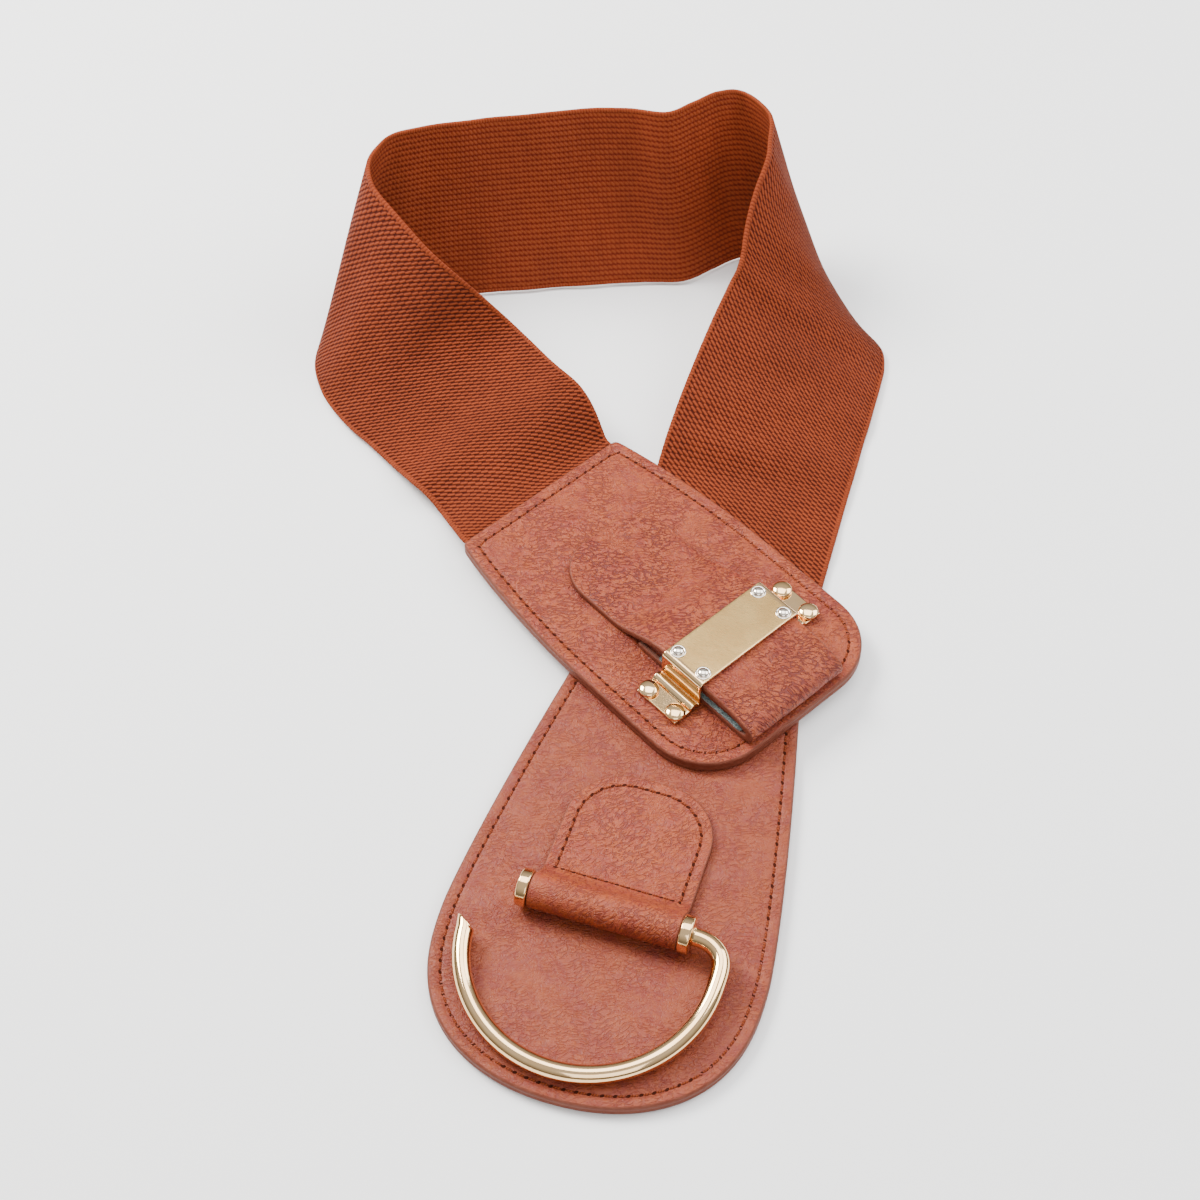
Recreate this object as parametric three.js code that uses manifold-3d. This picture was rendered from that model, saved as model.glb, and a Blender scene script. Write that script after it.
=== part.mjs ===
// Elastic stretch belt for the waist, lying fastened on a table.
// A woven elastic web runs from a rectangular leather end plate, round the waist loop and back
// to a tongue shaped leather end plate that lies underneath. The upper plate carries a folded
// leather strap under a metal bridge. The lower plate carries a wire hook in a leather sleeve.
// Millimetres, +Z up. The origin is under the middle of the belt, on the table.

import * as THREE from 'three';
import { mergeVertices } from 'three/addons/utils/BufferGeometryUtils.js';
import Module from 'manifold-3d';

const wasm = await Module();
wasm.setup();

// Gap kept between pieces that touch
const seatGap = 0.3;

// Elastic web
const webWidth = 57;
const webThickness = 1.4;
const loopWidth = 176;
const loopDepth = 150;
const webInsert = 12;
const pocketGap = 0.3;
const webStep = 4.5;
const webBow = 0.6;

// Paddle plate, the lower leather end
const paddleLength = 139;
const paddleWidth = 86.4;
const paddleJointWidth = 59.4;
const paddleTipLength = 45;
const paddleThickness = 3.4;
const paddleX = 27.1;
const paddleY = -21.3;
const paddleHeading = -106;
const tipFullness = 2.7;
const tipSquareness = 2.1;
const flankCurve = 1.3;

// Loop plate, the upper leather end
const plateLength = 107;
const plateWidth = 71.4;
const plateJointWidth = 59.4;
const plateFlareLength = 58;
const plateCorner = 19;
const plateThickness = 3.6;
const plateX = -17.5;
const plateY = 34.9;
const plateHeading = -48;
const edgeRound = 0.8;
const flareLeave = 0.2;
const flareArrive = 0.6;
const flareSpread = 0.45;

// Folded strap on the loop plate
const strapWidth = 35;
const strapThickness = 2;
const tongueStart = 24.2;
const tongueFlat = 25.5;
const tongueRound = 13.5;
const noseSetback = 2.2;
const noseDrop = 1.6;
const lowerLayerLength = 42;
const liningThickness = 0.8;
const liningLength = 32;
const liningSetback = 5;
const liningInset = 0.5;
const strapRunOut = 1;

// Metal bridge over the strap
const bridgeWidth = 15;
const bridgeSheet = 1;
const bridgeRise = 9.6;
const bridgeEndGap = 27.4;
const bridgeFootLength = 9.4;
const ribRadius = 1.5;
const bridgeBend = 1;
const rivetRadius = 1.6;
const rivetRing = 2.2;
const rivetHeight = 1.1;
const rivetInset = 3.6;
const rivetPitch = 9.8;
const studRadius = 2.8;
const studHeight = 1.8;
const studInset = 2.7;
const headRim = 0.25;
const headShoulder = 1.4;

// Hook and its leather tab
const barFromJoint = 88.4;
const barAcross = -1.4;
const hookTurn = -2.3;
const barRadius = 2.6;
const sleeveLeather = 1.8;
const sleeveLength = 39.5;
const barClearance = 0.3;
const flangeThickness = 3;
const flangeRadius = 5;
const hookWire = 4.8;
const bowRadius = 32.5;
const bowCentre = 11.9;
const shoulderBend = 7;
const hookTipBevel = -35;
const hookTipTrim = 2;
const patchLength = 43;
const patchWidth = 40;
const patchCorner = 16;
const patchThickness = 1.8;
const patchRound = 0.4;
const rollWrap = 111.6;
const rollTail = 2.1;
const rollHollow = 1.15;
const rollTailLift = 1.25;
const rollSink = 0.1;

// Foot edge of the web round the loop, from the loop plate to the paddle plate.
// x and y are shares of the loop's width and depth. lean is how steeply the web's width rises from
// the foot edge and heading is where it points in plan, in degrees. lift is a share of the web's width.
const webRows = [
  { x: -0.278, y: 0.220, lean: 13, heading: 38, lift: 0.03 },
  { x: -0.318, y: 0.273, lean: 14, heading: 37, lift: 0.03 },
  { x: -0.392, y: 0.380, lean: 20, heading: 36, lift: 0.01 },
  { x: -0.432, y: 0.433, lean: 28, heading: 33, lift: 0 },
  { x: -0.466, y: 0.487, lean: 38, heading: 30, lift: 0 },
  { x: -0.489, y: 0.543, lean: 47, heading: 30, lift: 0 },
  { x: -0.500, y: 0.600, lean: 54, heading: 36, lift: 0 },
  { x: -0.500, y: 0.653, lean: 59, heading: 48, lift: 0 },
  { x: -0.477, y: 0.713, lean: 61, heading: 59, lift: 0 },
  { x: -0.432, y: 0.760, lean: 62, heading: 68, lift: 0 },
  { x: -0.341, y: 0.793, lean: 66, heading: 80, lift: 0 },
  { x: -0.227, y: 0.820, lean: 68, heading: 92, lift: 0 },
  { x: -0.114, y: 0.833, lean: 66, heading: 98, lift: 0 },
  { x: 0.000, y: 0.847, lean: 64, heading: 100, lift: 0 },
  { x: 0.074, y: 0.853, lean: 65, heading: 102, lift: 0 },
  { x: 0.148, y: 0.857, lean: 70, heading: 105, lift: 0 },
  { x: 0.205, y: 0.893, lean: 70, heading: 111, lift: 0 },
  { x: 0.261, y: 0.930, lean: 69, heading: 117, lift: 0 },
  { x: 0.324, y: 0.920, lean: 64, heading: 120, lift: 0 },
  { x: 0.381, y: 0.867, lean: 63, heading: 126, lift: 0 },
  { x: 0.426, y: 0.787, lean: 58, heading: 140, lift: 0 },
  { x: 0.466, y: 0.713, lean: 47, heading: 155, lift: 0 },
  { x: 0.500, y: 0.640, lean: 35, heading: 163, lift: 0 },
  { x: 0.501, y: 0.593, lean: 31, heading: 162, lift: 0 },
  { x: 0.491, y: 0.547, lean: 27, heading: 159, lift: 0 },
  { x: 0.463, y: 0.433, lean: 20, heading: 160, lift: 0 },
  { x: 0.423, y: 0.273, lean: 9, heading: 163, lift: 0 },
  { x: 0.409, y: 0.217, lean: 3, heading: 164, lift: 0 },
  { x: 0.392, y: 0.147, lean: 1, heading: 164, lift: 0 },
  { x: 0.361, y: 0.020, lean: 0, heading: 164, lift: 0 },
];

const leather = { color: 0xc07862, roughness: 0.55, metalness: 0 };
const elastic = { color: 0xa85a38, roughness: 0.9, metalness: 0 };
const felt = { color: 0x465050, roughness: 0.95, metalness: 0 };
const paleGold = { color: 0xd8c094, roughness: 0.18, metalness: 1 };

const radians = THREE.MathUtils.degToRad;

// Heights of the stack, from the table up
const paddleTop = paddleThickness;
const plateBottom = paddleTop + seatGap;
const plateTop = plateBottom + plateThickness;
const strapBottom = plateTop + seatGap;
const bridgeTop = strapBottom + bridgeRise;
const barHeight = paddleTop + seatGap + flangeRadius;

// A closed geometry as a solid for joins and cuts
function solid(geometry) {
  const bare = geometry.index ? geometry.toNonIndexed() : geometry.clone();
  bare.deleteAttribute('normal');
  bare.deleteAttribute('uv');
  const merged = mergeVertices(bare, 1e-4);
  return new wasm.Manifold(new wasm.Mesh({
    numProp: 3,
    vertProperties: new Float32Array(merged.attributes.position.array),
    triVerts: new Uint32Array(merged.index.array),
  }));
}

// A solid back as a geometry
function surface(body) {
  const mesh = body.getMesh();
  const geometry = new THREE.BufferGeometry();
  geometry.setAttribute('position', new THREE.BufferAttribute(new Float32Array(mesh.vertProperties), 3));
  geometry.setIndex(new THREE.BufferAttribute(new Uint32Array(mesh.triVerts), 1));
  geometry.computeVertexNormals();
  return geometry;
}

// A named mesh of one finish
function piece(name, geometry, finish) {
  const mesh = new THREE.Mesh(geometry, new THREE.MeshStandardMaterial(finish));
  mesh.name = name;
  return mesh;
}

// A flat plate from a plan outline, with rounded edges, its underside at height base
function roundedPlate(shape, thickness, round, base) {
  const geometry = new THREE.ExtrudeGeometry(shape, {
    depth: thickness - 2 * round,
    bevelEnabled: true,
    bevelThickness: round,
    bevelSize: round,
    bevelOffset: -round,
    bevelSegments: 2,
    curveSegments: 14,
  });
  geometry.translate(0, 0, base + round);
  return geometry;
}

// A straight box between two corners
function block(low, high) {
  const size = new THREE.Vector3().subVectors(high, low);
  const geometry = new THREE.BoxGeometry(size.x, size.y, size.z);
  geometry.translate((low.x + high.x) / 2, (low.y + high.y) / 2, (low.z + high.z) / 2);
  return geometry;
}

// The pocket that the web's end sits in, at the joint edge of a plate
function webPocket(middle) {
  const half = webWidth / 2 + pocketGap;
  const thin = webThickness / 2 + pocketGap;
  return block(
    new THREE.Vector3(-webInsert, -half, middle - thin),
    new THREE.Vector3(webInsert + pocketGap, half, middle + thin),
  );
}

// A polyline thickened to both sides, as a closed outline
function thickened(line, thickness) {
  const near = [];
  const far = [];
  line.forEach((point, index) => {
    const before = line[Math.max(index - 1, 0)];
    const after = line[Math.min(index + 1, line.length - 1)];
    const into = new THREE.Vector2().subVectors(point, before);
    const out = new THREE.Vector2().subVectors(after, point);
    if (into.length() === 0) into.copy(out);
    if (out.length() === 0) out.copy(into);
    into.normalize();
    out.normalize();
    const bisector = new THREE.Vector2().addVectors(into, out).normalize();
    const mitre = thickness / 2 / bisector.dot(into);
    const side = new THREE.Vector2(-bisector.y, bisector.x).multiplyScalar(mitre);
    near.push(point.clone().add(side));
    far.push(point.clone().sub(side));
  });
  return new THREE.Shape([...near, ...far.reverse()]);
}

// Points of an arc in the plane of a profile, ends included
function arcPoints(centreX, centreY, radius, from, to, steps) {
  const points = [];
  for (let step = 0; step <= steps; step += 1) {
    const angle = radians(from + (to - from) * step / steps);
    points.push(new THREE.Vector2(centreX + radius * Math.cos(angle), centreY + radius * Math.sin(angle)));
  }
  return points;
}

// Smooth values through rows without overshoot
function monotone(values, place) {
  const last = values.length - 1;
  const index = Math.min(Math.floor(place), last - 1);
  const part = place - index;
  const rise = (at) => values[at + 1] - values[at];
  const slope = (at) => {
    if (at === 0 || at === last) return 0;
    const before = rise(at - 1);
    const after = rise(at);
    return before * after <= 0 ? 0 : 2 * before * after / (before + after);
  };
  const square = part * part;
  const cube = square * part;
  return (2 * cube - 3 * square + 1) * values[index]
    + (cube - 2 * square + part) * slope(index)
    + (3 * square - 2 * cube) * values[index + 1]
    + (cube - square) * slope(index + 1);
}

// A point of a plate's own plan, in the plan of the belt
function inPlan(originX, originY, heading, along, across) {
  const angle = radians(heading);
  return {
    x: originX + along * Math.cos(angle) - across * Math.sin(angle),
    y: originY + along * Math.sin(angle) + across * Math.cos(angle),
  };
}

// The foot edge's rows with both ends seated in their pockets
function seatedRows() {
  const plateMiddle = plateBottom + plateThickness / 2;
  const paddleMiddle = paddleThickness / 2;
  const half = webWidth / 2;
  const seat = (origin, side, along, middle) => ({
    ...inPlan(...origin, along, side * half),
    lean: 0,
    heading: (origin[2] - side * 90 + 360) % 360,
    height: middle - webThickness / 2,
  });
  const plateSeat = (along) => seat([plateX, plateY, plateHeading], -1, along, plateMiddle);
  const paddleSeat = (along) => seat([paddleX, paddleY, paddleHeading], 1, along, paddleMiddle);
  const free = webRows.map((row) => ({
    x: row.x * loopWidth,
    y: row.y * loopDepth,
    lean: row.lean,
    heading: row.heading,
    height: row.lift * webWidth,
  }));
  return [
    plateSeat(webInsert), plateSeat(webInsert / 2), plateSeat(0), plateSeat(-webInsert / 6),
    ...free,
    paddleSeat(-webInsert), paddleSeat(-webInsert / 4), paddleSeat(0), paddleSeat(webInsert / 2),
    paddleSeat(webInsert),
  ];
}

// The elastic web as one closed ribbon
function elasticBand() {
  const rows = seatedRows();
  const curve = new THREE.CatmullRomCurve3(
    rows.map((row) => new THREE.Vector3(row.x, row.y, 0)), false, 'centripetal',
  );
  const last = rows.length - 1;
  const column = (name) => rows.map((row) => row[name]);
  const leans = column('lean');
  const headings = column('heading');
  const heights = column('height');
  const places = [];
  for (let index = 0; index < last; index += 1) {
    const span = Math.hypot(rows[index + 1].x - rows[index].x, rows[index + 1].y - rows[index].y);
    const steps = Math.max(Math.ceil(span / webStep), 1);
    for (let step = 0; step < steps; step += 1) places.push(index + step / steps);
  }
  places.push(last);

  const stations = places.map((place) => {
    const foot = curve.getPoint(place / last);
    const along = curve.getTangent(place / last).setZ(0).normalize();
    const lean = radians(monotone(leans, place));
    const heading = radians(monotone(headings, place));
    const wide = new THREE.Vector3(
      Math.cos(lean) * Math.cos(heading), Math.cos(lean) * Math.sin(heading), Math.sin(lean),
    );
    foot.z = monotone(heights, place) + webThickness / 2 * Math.abs(Math.cos(lean));
    return { foot, along, wide, bow: webBow * Math.sin(lean) };
  });
  const positions = [];
  const acrossSteps = 4;
  stations.forEach(({ foot, along, wide, bow }) => {
    const normal = new THREE.Vector3().crossVectors(wide, along).normalize();
    const ring = [];
    for (let step = 0; step <= acrossSteps; step += 1) ring.push([step / acrossSteps, 1]);
    for (let step = acrossSteps; step >= 0; step -= 1) ring.push([step / acrossSteps, -1]);
    ring.forEach(([share, side]) => {
      const crown = bow * Math.sin(Math.PI * share);
      const point = foot.clone()
        .addScaledVector(wide, share * webWidth)
        .addScaledVector(normal, crown + side * webThickness / 2);
      positions.push(point.x, point.y, point.z);
    });
  });
  const around = 2 * (acrossSteps + 1);
  const faces = [];
  for (let row = 0; row + 1 < stations.length; row += 1) {
    for (let spot = 0; spot < around; spot += 1) {
      const next = (spot + 1) % around;
      const a = row * around + spot;
      const b = row * around + next;
      const c = a + around;
      const d = b + around;
      faces.push(a, b, c, b, d, c);
    }
  }
  const cap = (start, flip) => {
    for (let spot = 0; spot < acrossSteps; spot += 1) {
      const top = start + spot;
      const low = start + around - 1 - spot;
      const quad = [top, top + 1, low, top + 1, low - 1, low];
      faces.push(...(flip ? quad.reverse() : quad));
    }
  };
  cap(0, true);
  cap((stations.length - 1) * around, false);
  const geometry = new THREE.BufferGeometry();
  geometry.setAttribute('position', new THREE.Float32BufferAttribute(positions, 3));
  geometry.setIndex(faces);
  geometry.computeVertexNormals();
  return piece('elastic_band', geometry, elastic);
}

// Half width of the paddle at a distance from its tip
function paddleHalf(fromTip) {
  const half = paddleWidth / 2;
  if (fromTip < paddleTipLength) {
    const share = 1 - fromTip / paddleTipLength;
    return half * (1 - share ** tipFullness) ** (1 / tipSquareness);
  }
  const share = (fromTip - paddleTipLength) / (paddleLength - paddleTipLength);
  return half - (half - paddleJointWidth / 2) * share ** flankCurve;
}

// The tongue shaped lower plate, with the web's pocket
function paddlePlate() {
  const side = [];
  const steps = 34;
  for (let step = 0; step <= steps; step += 1) {
    const fromTip = paddleLength * (step / steps) ** 2;
    side.push(new THREE.Vector2(paddleLength - fromTip, paddleHalf(fromTip)));
  }
  const mirrored = side.slice(1).map((point) => new THREE.Vector2(point.x, -point.y)).reverse();
  const shape = new THREE.Shape([...mirrored, ...side]);
  const plate = solid(roundedPlate(shape, paddleThickness, edgeRound, 0));
  return piece('paddle_plate', surface(plate.subtract(solid(webPocket(paddleThickness / 2)))), leather);
}

// The rectangular upper plate, flared from its joint, with the web's pocket
function loopPlate() {
  const half = plateWidth / 2;
  const joint = plateJointWidth / 2;
  const shape = new THREE.Shape();
  shape.moveTo(0, -joint);
  const leave = plateFlareLength * flareLeave;
  const arrive = plateFlareLength * flareArrive;
  const spread = joint + (half - joint) * flareSpread;
  shape.bezierCurveTo(leave, -spread, arrive, -half, plateFlareLength, -half);
  shape.lineTo(plateLength - plateCorner, -half);
  shape.absarc(plateLength - plateCorner, -half + plateCorner, plateCorner, -Math.PI / 2, 0);
  shape.lineTo(plateLength, half - plateCorner);
  shape.absarc(plateLength - plateCorner, half - plateCorner, plateCorner, 0, Math.PI / 2);
  shape.lineTo(plateFlareLength, half);
  shape.bezierCurveTo(arrive, half, leave, spread, 0, joint);
  shape.closePath();
  const plate = solid(roundedPlate(shape, plateThickness, edgeRound, plateBottom));
  const pocket = solid(webPocket(plateBottom + plateThickness / 2));
  return piece('loop_plate', surface(plate.subtract(pocket)), leather);
}

// Where the bridge stands along the loop plate
const bridgeMiddle = plateLength - bridgeEndGap;

// Middle line of the folded strap in side view, from the tongue round the fold to the hidden end
function strapLine() {
  const low = strapBottom + strapThickness / 2;
  const high = bridgeTop - bridgeSheet - seatGap - strapThickness / 2;
  const noseTop = high - noseDrop;
  const noseRadius = (noseTop - low) / 2;
  const noseX = plateLength - noseSetback - noseRadius - strapThickness / 2;
  const riseStart = tongueStart + tongueFlat;
  const riseEnd = bridgeMiddle - bridgeWidth / 2 - strapRunOut;
  const line = [new THREE.Vector2(tongueStart, low), new THREE.Vector2(riseStart, low)];
  const riseSteps = 8;
  for (let step = 1; step <= riseSteps; step += 1) {
    const share = step / riseSteps;
    const ease = share * share * (3 - 2 * share);
    line.push(new THREE.Vector2(riseStart + (riseEnd - riseStart) * share, low + (high - low) * ease));
  }
  const flatEnd = bridgeMiddle + bridgeWidth / 2 + strapRunOut;
  line.push(new THREE.Vector2(flatEnd, high));
  const dropSteps = 4;
  for (let step = 1; step < dropSteps; step += 1) {
    const share = step / dropSteps;
    line.push(new THREE.Vector2(flatEnd + (noseX - flatEnd) * share, high - noseDrop * share * share));
  }
  line.push(...arcPoints(noseX, low + noseRadius, noseRadius, 90, -90, 10));
  line.push(new THREE.Vector2(noseX - lowerLayerLength, low));
  return line;
}

// Side profile in x and z, made into a strip across the plate
function acrossPlate(shape, width) {
  const geometry = new THREE.ExtrudeGeometry(shape, { depth: width, bevelEnabled: false, curveSegments: 8 });
  geometry.translate(0, 0, -width / 2);
  geometry.rotateX(Math.PI / 2);
  return geometry;
}

// The folded strap, its tongue rounded in plan
function keeperStrap() {
  const half = strapWidth / 2;
  const plan = new THREE.Shape();
  plan.moveTo(plateLength * 2, -half);
  plan.lineTo(plateLength * 2, half);
  plan.lineTo(tongueStart + tongueRound, half);
  plan.absarc(tongueStart + tongueRound, half - tongueRound, tongueRound, Math.PI / 2, Math.PI);
  plan.lineTo(tongueStart, -half + tongueRound);
  plan.absarc(tongueStart + tongueRound, -half + tongueRound, tongueRound, Math.PI, Math.PI * 1.5);
  plan.closePath();
  const trim = new THREE.ExtrudeGeometry(plan, { depth: bridgeTop * 2, bevelEnabled: false, curveSegments: 10 });
  const strip = acrossPlate(thickened(strapLine(), strapThickness), strapWidth + 2 * seatGap);
  return piece('keeper_strap', surface(solid(strip).intersect(solid(trim))), leather);
}

// The felt on the strap's lower layer, inside the fold
function loopLining() {
  const low = strapBottom + strapThickness + seatGap;
  const end = plateLength - noseSetback - strapThickness - liningSetback;
  const half = strapWidth / 2 - liningInset;
  const geometry = block(
    new THREE.Vector3(end - liningLength, -half, low),
    new THREE.Vector3(end, half, low + liningThickness),
  );
  return piece('loop_lining', geometry, felt);
}

// The bent sheet bridge: foot, rib, leg, top, leg, rib, foot
function bridge() {
  const legInside = strapWidth / 2 + seatGap;
  const leg = legInside + bridgeSheet / 2;
  const low = strapBottom + bridgeSheet / 2;
  const high = bridgeTop - bridgeSheet / 2;
  const ribCentre = leg + bridgeSheet + ribRadius;
  const half = [
    ...arcPoints(leg - bridgeBend, high - bridgeBend, bridgeBend, 90, 0, 3),
    new THREE.Vector2(leg, low),
    ...arcPoints(ribCentre, low, ribRadius, 180, 0, 8),
    new THREE.Vector2(leg + bridgeFootLength + bridgeSheet / 2, low),
  ];
  const mirrored = half.map((point) => new THREE.Vector2(-point.x, point.y)).reverse();
  const profile = thickened([...mirrored, ...half], bridgeSheet);
  const geometry = new THREE.ExtrudeGeometry(profile, { depth: bridgeWidth, bevelEnabled: false });
  geometry.rotateX(Math.PI / 2);
  geometry.rotateZ(Math.PI / 2);
  geometry.translate(bridgeMiddle - bridgeWidth / 2, 0, 0);
  return piece('bridge', geometry, paleGold);
}

// A round domed head with a flat underside
function domedHead(radius, ring, height) {
  const rim = height * headRim;
  const shoulder = rim * headShoulder;
  const profile = [new THREE.Vector2(0, 0), new THREE.Vector2(ring, 0)];
  if (ring > radius) {
    profile.push(new THREE.Vector2(ring, rim), new THREE.Vector2(radius, rim));
  }
  const steps = 5;
  for (let step = 0; step < steps; step += 1) {
    const angle = Math.PI / 2 * step / steps;
    profile.push(new THREE.Vector2(radius * Math.cos(angle), shoulder + (height - shoulder) * Math.sin(angle)));
  }
  profile.push(new THREE.Vector2(0, height));
  const geometry = new THREE.LatheGeometry(profile, 20);
  geometry.rotateX(Math.PI / 2);
  return geometry;
}

// The four heads on the bridge's top and the four on its feet
function heads() {
  const made = [];
  const leg = strapWidth / 2 + seatGap + bridgeSheet;
  const footEnd = leg + bridgeFootLength;
  let count = 1;
  for (const side of [-1, 1]) {
    for (const end of [-1, 1]) {
      const along = bridgeMiddle + end * rivetPitch / 2;
      const rivet = piece(`rivet_${count}`, solidOf(domedHead(rivetRadius, rivetRing, rivetHeight)), paleGold);
      rivet.position.set(along, side * (leg - rivetInset), bridgeTop + seatGap / 2);
      const stud = piece(`stud_${count}`, solidOf(domedHead(studRadius, studRadius, studHeight)), paleGold);
      stud.position.set(along, side * (footEnd - studInset), strapBottom + bridgeSheet + seatGap / 2);
      made.push(rivet, stud);
      count += 1;
    }
  }
  return made;
}

// A lathe or extrude geometry welded into one closed surface
function solidOf(geometry) {
  return surface(solid(geometry));
}

// The leather tab: an arch patch and a sleeve round the hook's bar.
// Its own x runs from the bar towards the paddle's tip.
function hookTab() {
  const half = patchWidth / 2;
  const plan = new THREE.Shape();
  plan.moveTo(0, -half);
  plan.lineTo(0, half);
  plan.lineTo(-patchLength + patchCorner, half);
  plan.absarc(-patchLength + patchCorner, half - patchCorner, patchCorner, Math.PI / 2, Math.PI);
  plan.absarc(-patchLength + patchCorner, -half + patchCorner, patchCorner, Math.PI, Math.PI * 1.5);
  plan.closePath();
  const base = paddleTop + seatGap;
  const patch = solid(roundedPlate(plan, patchThickness, patchRound, base));
  const outer = barRadius + barClearance + sleeveLeather;
  const roll = new THREE.Shape();
  roll.absarc(0, barHeight, outer, -Math.PI / 2, radians(rollWrap));
  roll.quadraticCurveTo(
    -outer * rollHollow, base + patchThickness * rollTailLift,
    -outer * rollTail, base + patchThickness - rollSink,
  );
  roll.lineTo(-outer * rollTail, base + rollSink);
  roll.lineTo(-outer, base + rollSink);
  roll.closePath();
  const rollSolid = solid(new THREE.ExtrudeGeometry(roll, {
    depth: sleeveLength, bevelEnabled: false, curveSegments: 20,
  }).translate(0, 0, -sleeveLength / 2).rotateX(Math.PI / 2));
  const bore = new THREE.CylinderGeometry(
    barRadius + barClearance, barRadius + barClearance, patchWidth * 2, 20,
  );
  const boreSolid = solid(bore.translate(0, 0, barHeight));
  const trimmed = patch.subtract(solid(block(
    new THREE.Vector3(-outer, -patchWidth, base - 1),
    new THREE.Vector3(outer, patchWidth, base + patchThickness + 1),
  )));
  return piece('hook_tab', surface(trimmed.add(rollSolid).subtract(boreSolid)), leather);
}

// Middle line of the hook's wire in its own plane: x away from the bar, y along it
class HookLine extends THREE.Curve {
  constructor() {
    super();
    const lengths = {
      lead: bowRadius - shoulderBend - (sleeveLength / 2),
      bend: shoulderBend * Math.PI / 2,
      side: bowCentre - shoulderBend,
      bow: bowRadius * Math.PI,
    };
    this.lengths = lengths;
    this.total = lengths.lead + lengths.bend + lengths.side + lengths.bow;
  }

  getPoint(share, target = new THREE.Vector3()) {
    let left = share * this.total;
    const { lead, bend, side, bow } = this.lengths;
    if (left <= lead) return target.set(0, sleeveLength / 2 + left, 0);
    left -= lead;
    if (left <= bend) {
      const angle = left / shoulderBend;
      return target.set(
        shoulderBend - shoulderBend * Math.cos(angle),
        bowRadius - shoulderBend + shoulderBend * Math.sin(angle),
        0,
      );
    }
    left -= bend;
    if (left <= side) return target.set(shoulderBend + left, bowRadius, 0);
    left -= side;
    const angle = Math.PI * left / bow;
    return target.set(bowCentre + bowRadius * Math.sin(angle), bowRadius * Math.cos(angle), 0);
  }
}

// The wire hook, bar and flanges in one piece, lying on the paddle
function hook() {
  const wire = new THREE.Shape();
  wire.absarc(0, 0, hookWire / 2, 0, Math.PI * 2);
  const bow = solid(new THREE.ExtrudeGeometry(wire, {
    steps: 66, bevelEnabled: false, curveSegments: 6, extrudePath: new HookLine(),
  }));
  const flangeIn = sleeveLength / 2 + barClearance;
  const barLength = 2 * (flangeIn + flangeThickness / 2);
  const bar = solid(new THREE.CylinderGeometry(barRadius, barRadius, barLength, 20));
  const flange = (side) => solid(new THREE.CylinderGeometry(
    flangeRadius, flangeRadius, flangeThickness, 28,
  ).translate(0, side * (flangeIn + flangeThickness / 2), 0));
  const clearLead = solid(new THREE.CylinderGeometry(hookWire, hookWire, flangeIn * 2, 16));
  const cut = new THREE.BoxGeometry(hookWire * 4, hookWire * 4, hookWire * 4);
  cut.translate(-hookWire * 2, 0, 0);
  cut.rotateZ(radians(hookTipBevel));
  cut.translate(bowCentre + hookTipTrim, -bowRadius, 0);
  const made = bow.subtract(clearLead).subtract(solid(cut)).add(bar).add(flange(1)).add(flange(-1));
  return piece('hook', surface(made), paleGold);
}

const belt = new THREE.Group();
belt.add(elasticBand());

const paddle = new THREE.Group();
paddle.position.set(paddleX, paddleY, 0);
paddle.rotation.z = radians(paddleHeading);
paddle.add(paddlePlate());

const tabPlace = new THREE.Group();
tabPlace.position.set(barFromJoint, barAcross, 0);
tabPlace.rotation.z = radians(hookTurn);
tabPlace.add(hookTab());
const hookRest = Math.asin((barHeight - paddleTop - seatGap - hookWire / 2) / (bowCentre + bowRadius));
const hookMesh = hook();
hookMesh.position.z = barHeight;
hookMesh.rotation.y = hookRest;
tabPlace.add(hookMesh);
paddle.add(tabPlace);
belt.add(paddle);

const plate = new THREE.Group();
plate.position.set(plateX, plateY, 0);
plate.rotation.z = radians(plateHeading);
plate.add(loopPlate(), keeperStrap(), loopLining(), bridge(), ...heads());
belt.add(plate);

const extent = new THREE.Box3().setFromObject(belt, true);
const middle = extent.getCenter(new THREE.Vector3());
belt.position.set(-middle.x, -middle.y, -extent.min.z);
const whole = new THREE.Group();
whole.add(belt);

export default whole;
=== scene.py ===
"""Looks of an elastic stretch belt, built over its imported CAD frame.

Lengths are millimetres inside the classes and become metres when a mesh is made. The belt lies
fastened on a table with +Z up, the waist loop towards +Y and the hook towards -Y.
"""

import logging
import math
from collections.abc import Callable, Sequence
from dataclasses import dataclass, field
from enum import Enum

import bpy
import numpy as np
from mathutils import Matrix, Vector
from mathutils.geometry import delaunay_2d_cdt


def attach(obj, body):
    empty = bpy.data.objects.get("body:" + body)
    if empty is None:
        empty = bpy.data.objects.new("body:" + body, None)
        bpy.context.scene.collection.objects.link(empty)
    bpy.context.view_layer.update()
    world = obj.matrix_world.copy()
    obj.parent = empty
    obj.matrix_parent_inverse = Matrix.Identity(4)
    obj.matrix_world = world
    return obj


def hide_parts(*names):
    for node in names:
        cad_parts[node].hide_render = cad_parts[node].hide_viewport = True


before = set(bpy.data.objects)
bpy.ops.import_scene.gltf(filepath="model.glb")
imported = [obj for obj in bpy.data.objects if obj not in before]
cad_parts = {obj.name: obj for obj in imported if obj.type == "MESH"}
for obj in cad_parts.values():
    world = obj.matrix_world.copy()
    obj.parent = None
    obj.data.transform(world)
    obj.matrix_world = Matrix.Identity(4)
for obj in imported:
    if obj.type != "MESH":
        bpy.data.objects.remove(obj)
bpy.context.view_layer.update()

MM = 0.001
LOG = logging.getLogger("belt")

Bend = Callable[[np.ndarray], np.ndarray]


class Body(Enum):
    """The CAD bodies that pieces ride on."""

    BELT = "belt"
    HOOK = "hook_swivel"


class Slot(Enum):
    """The record's material slots."""

    WEB = "elastic_web"
    LEATHER = "leather"
    FELT = "felt"
    GOLD = "pale_gold"


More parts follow.
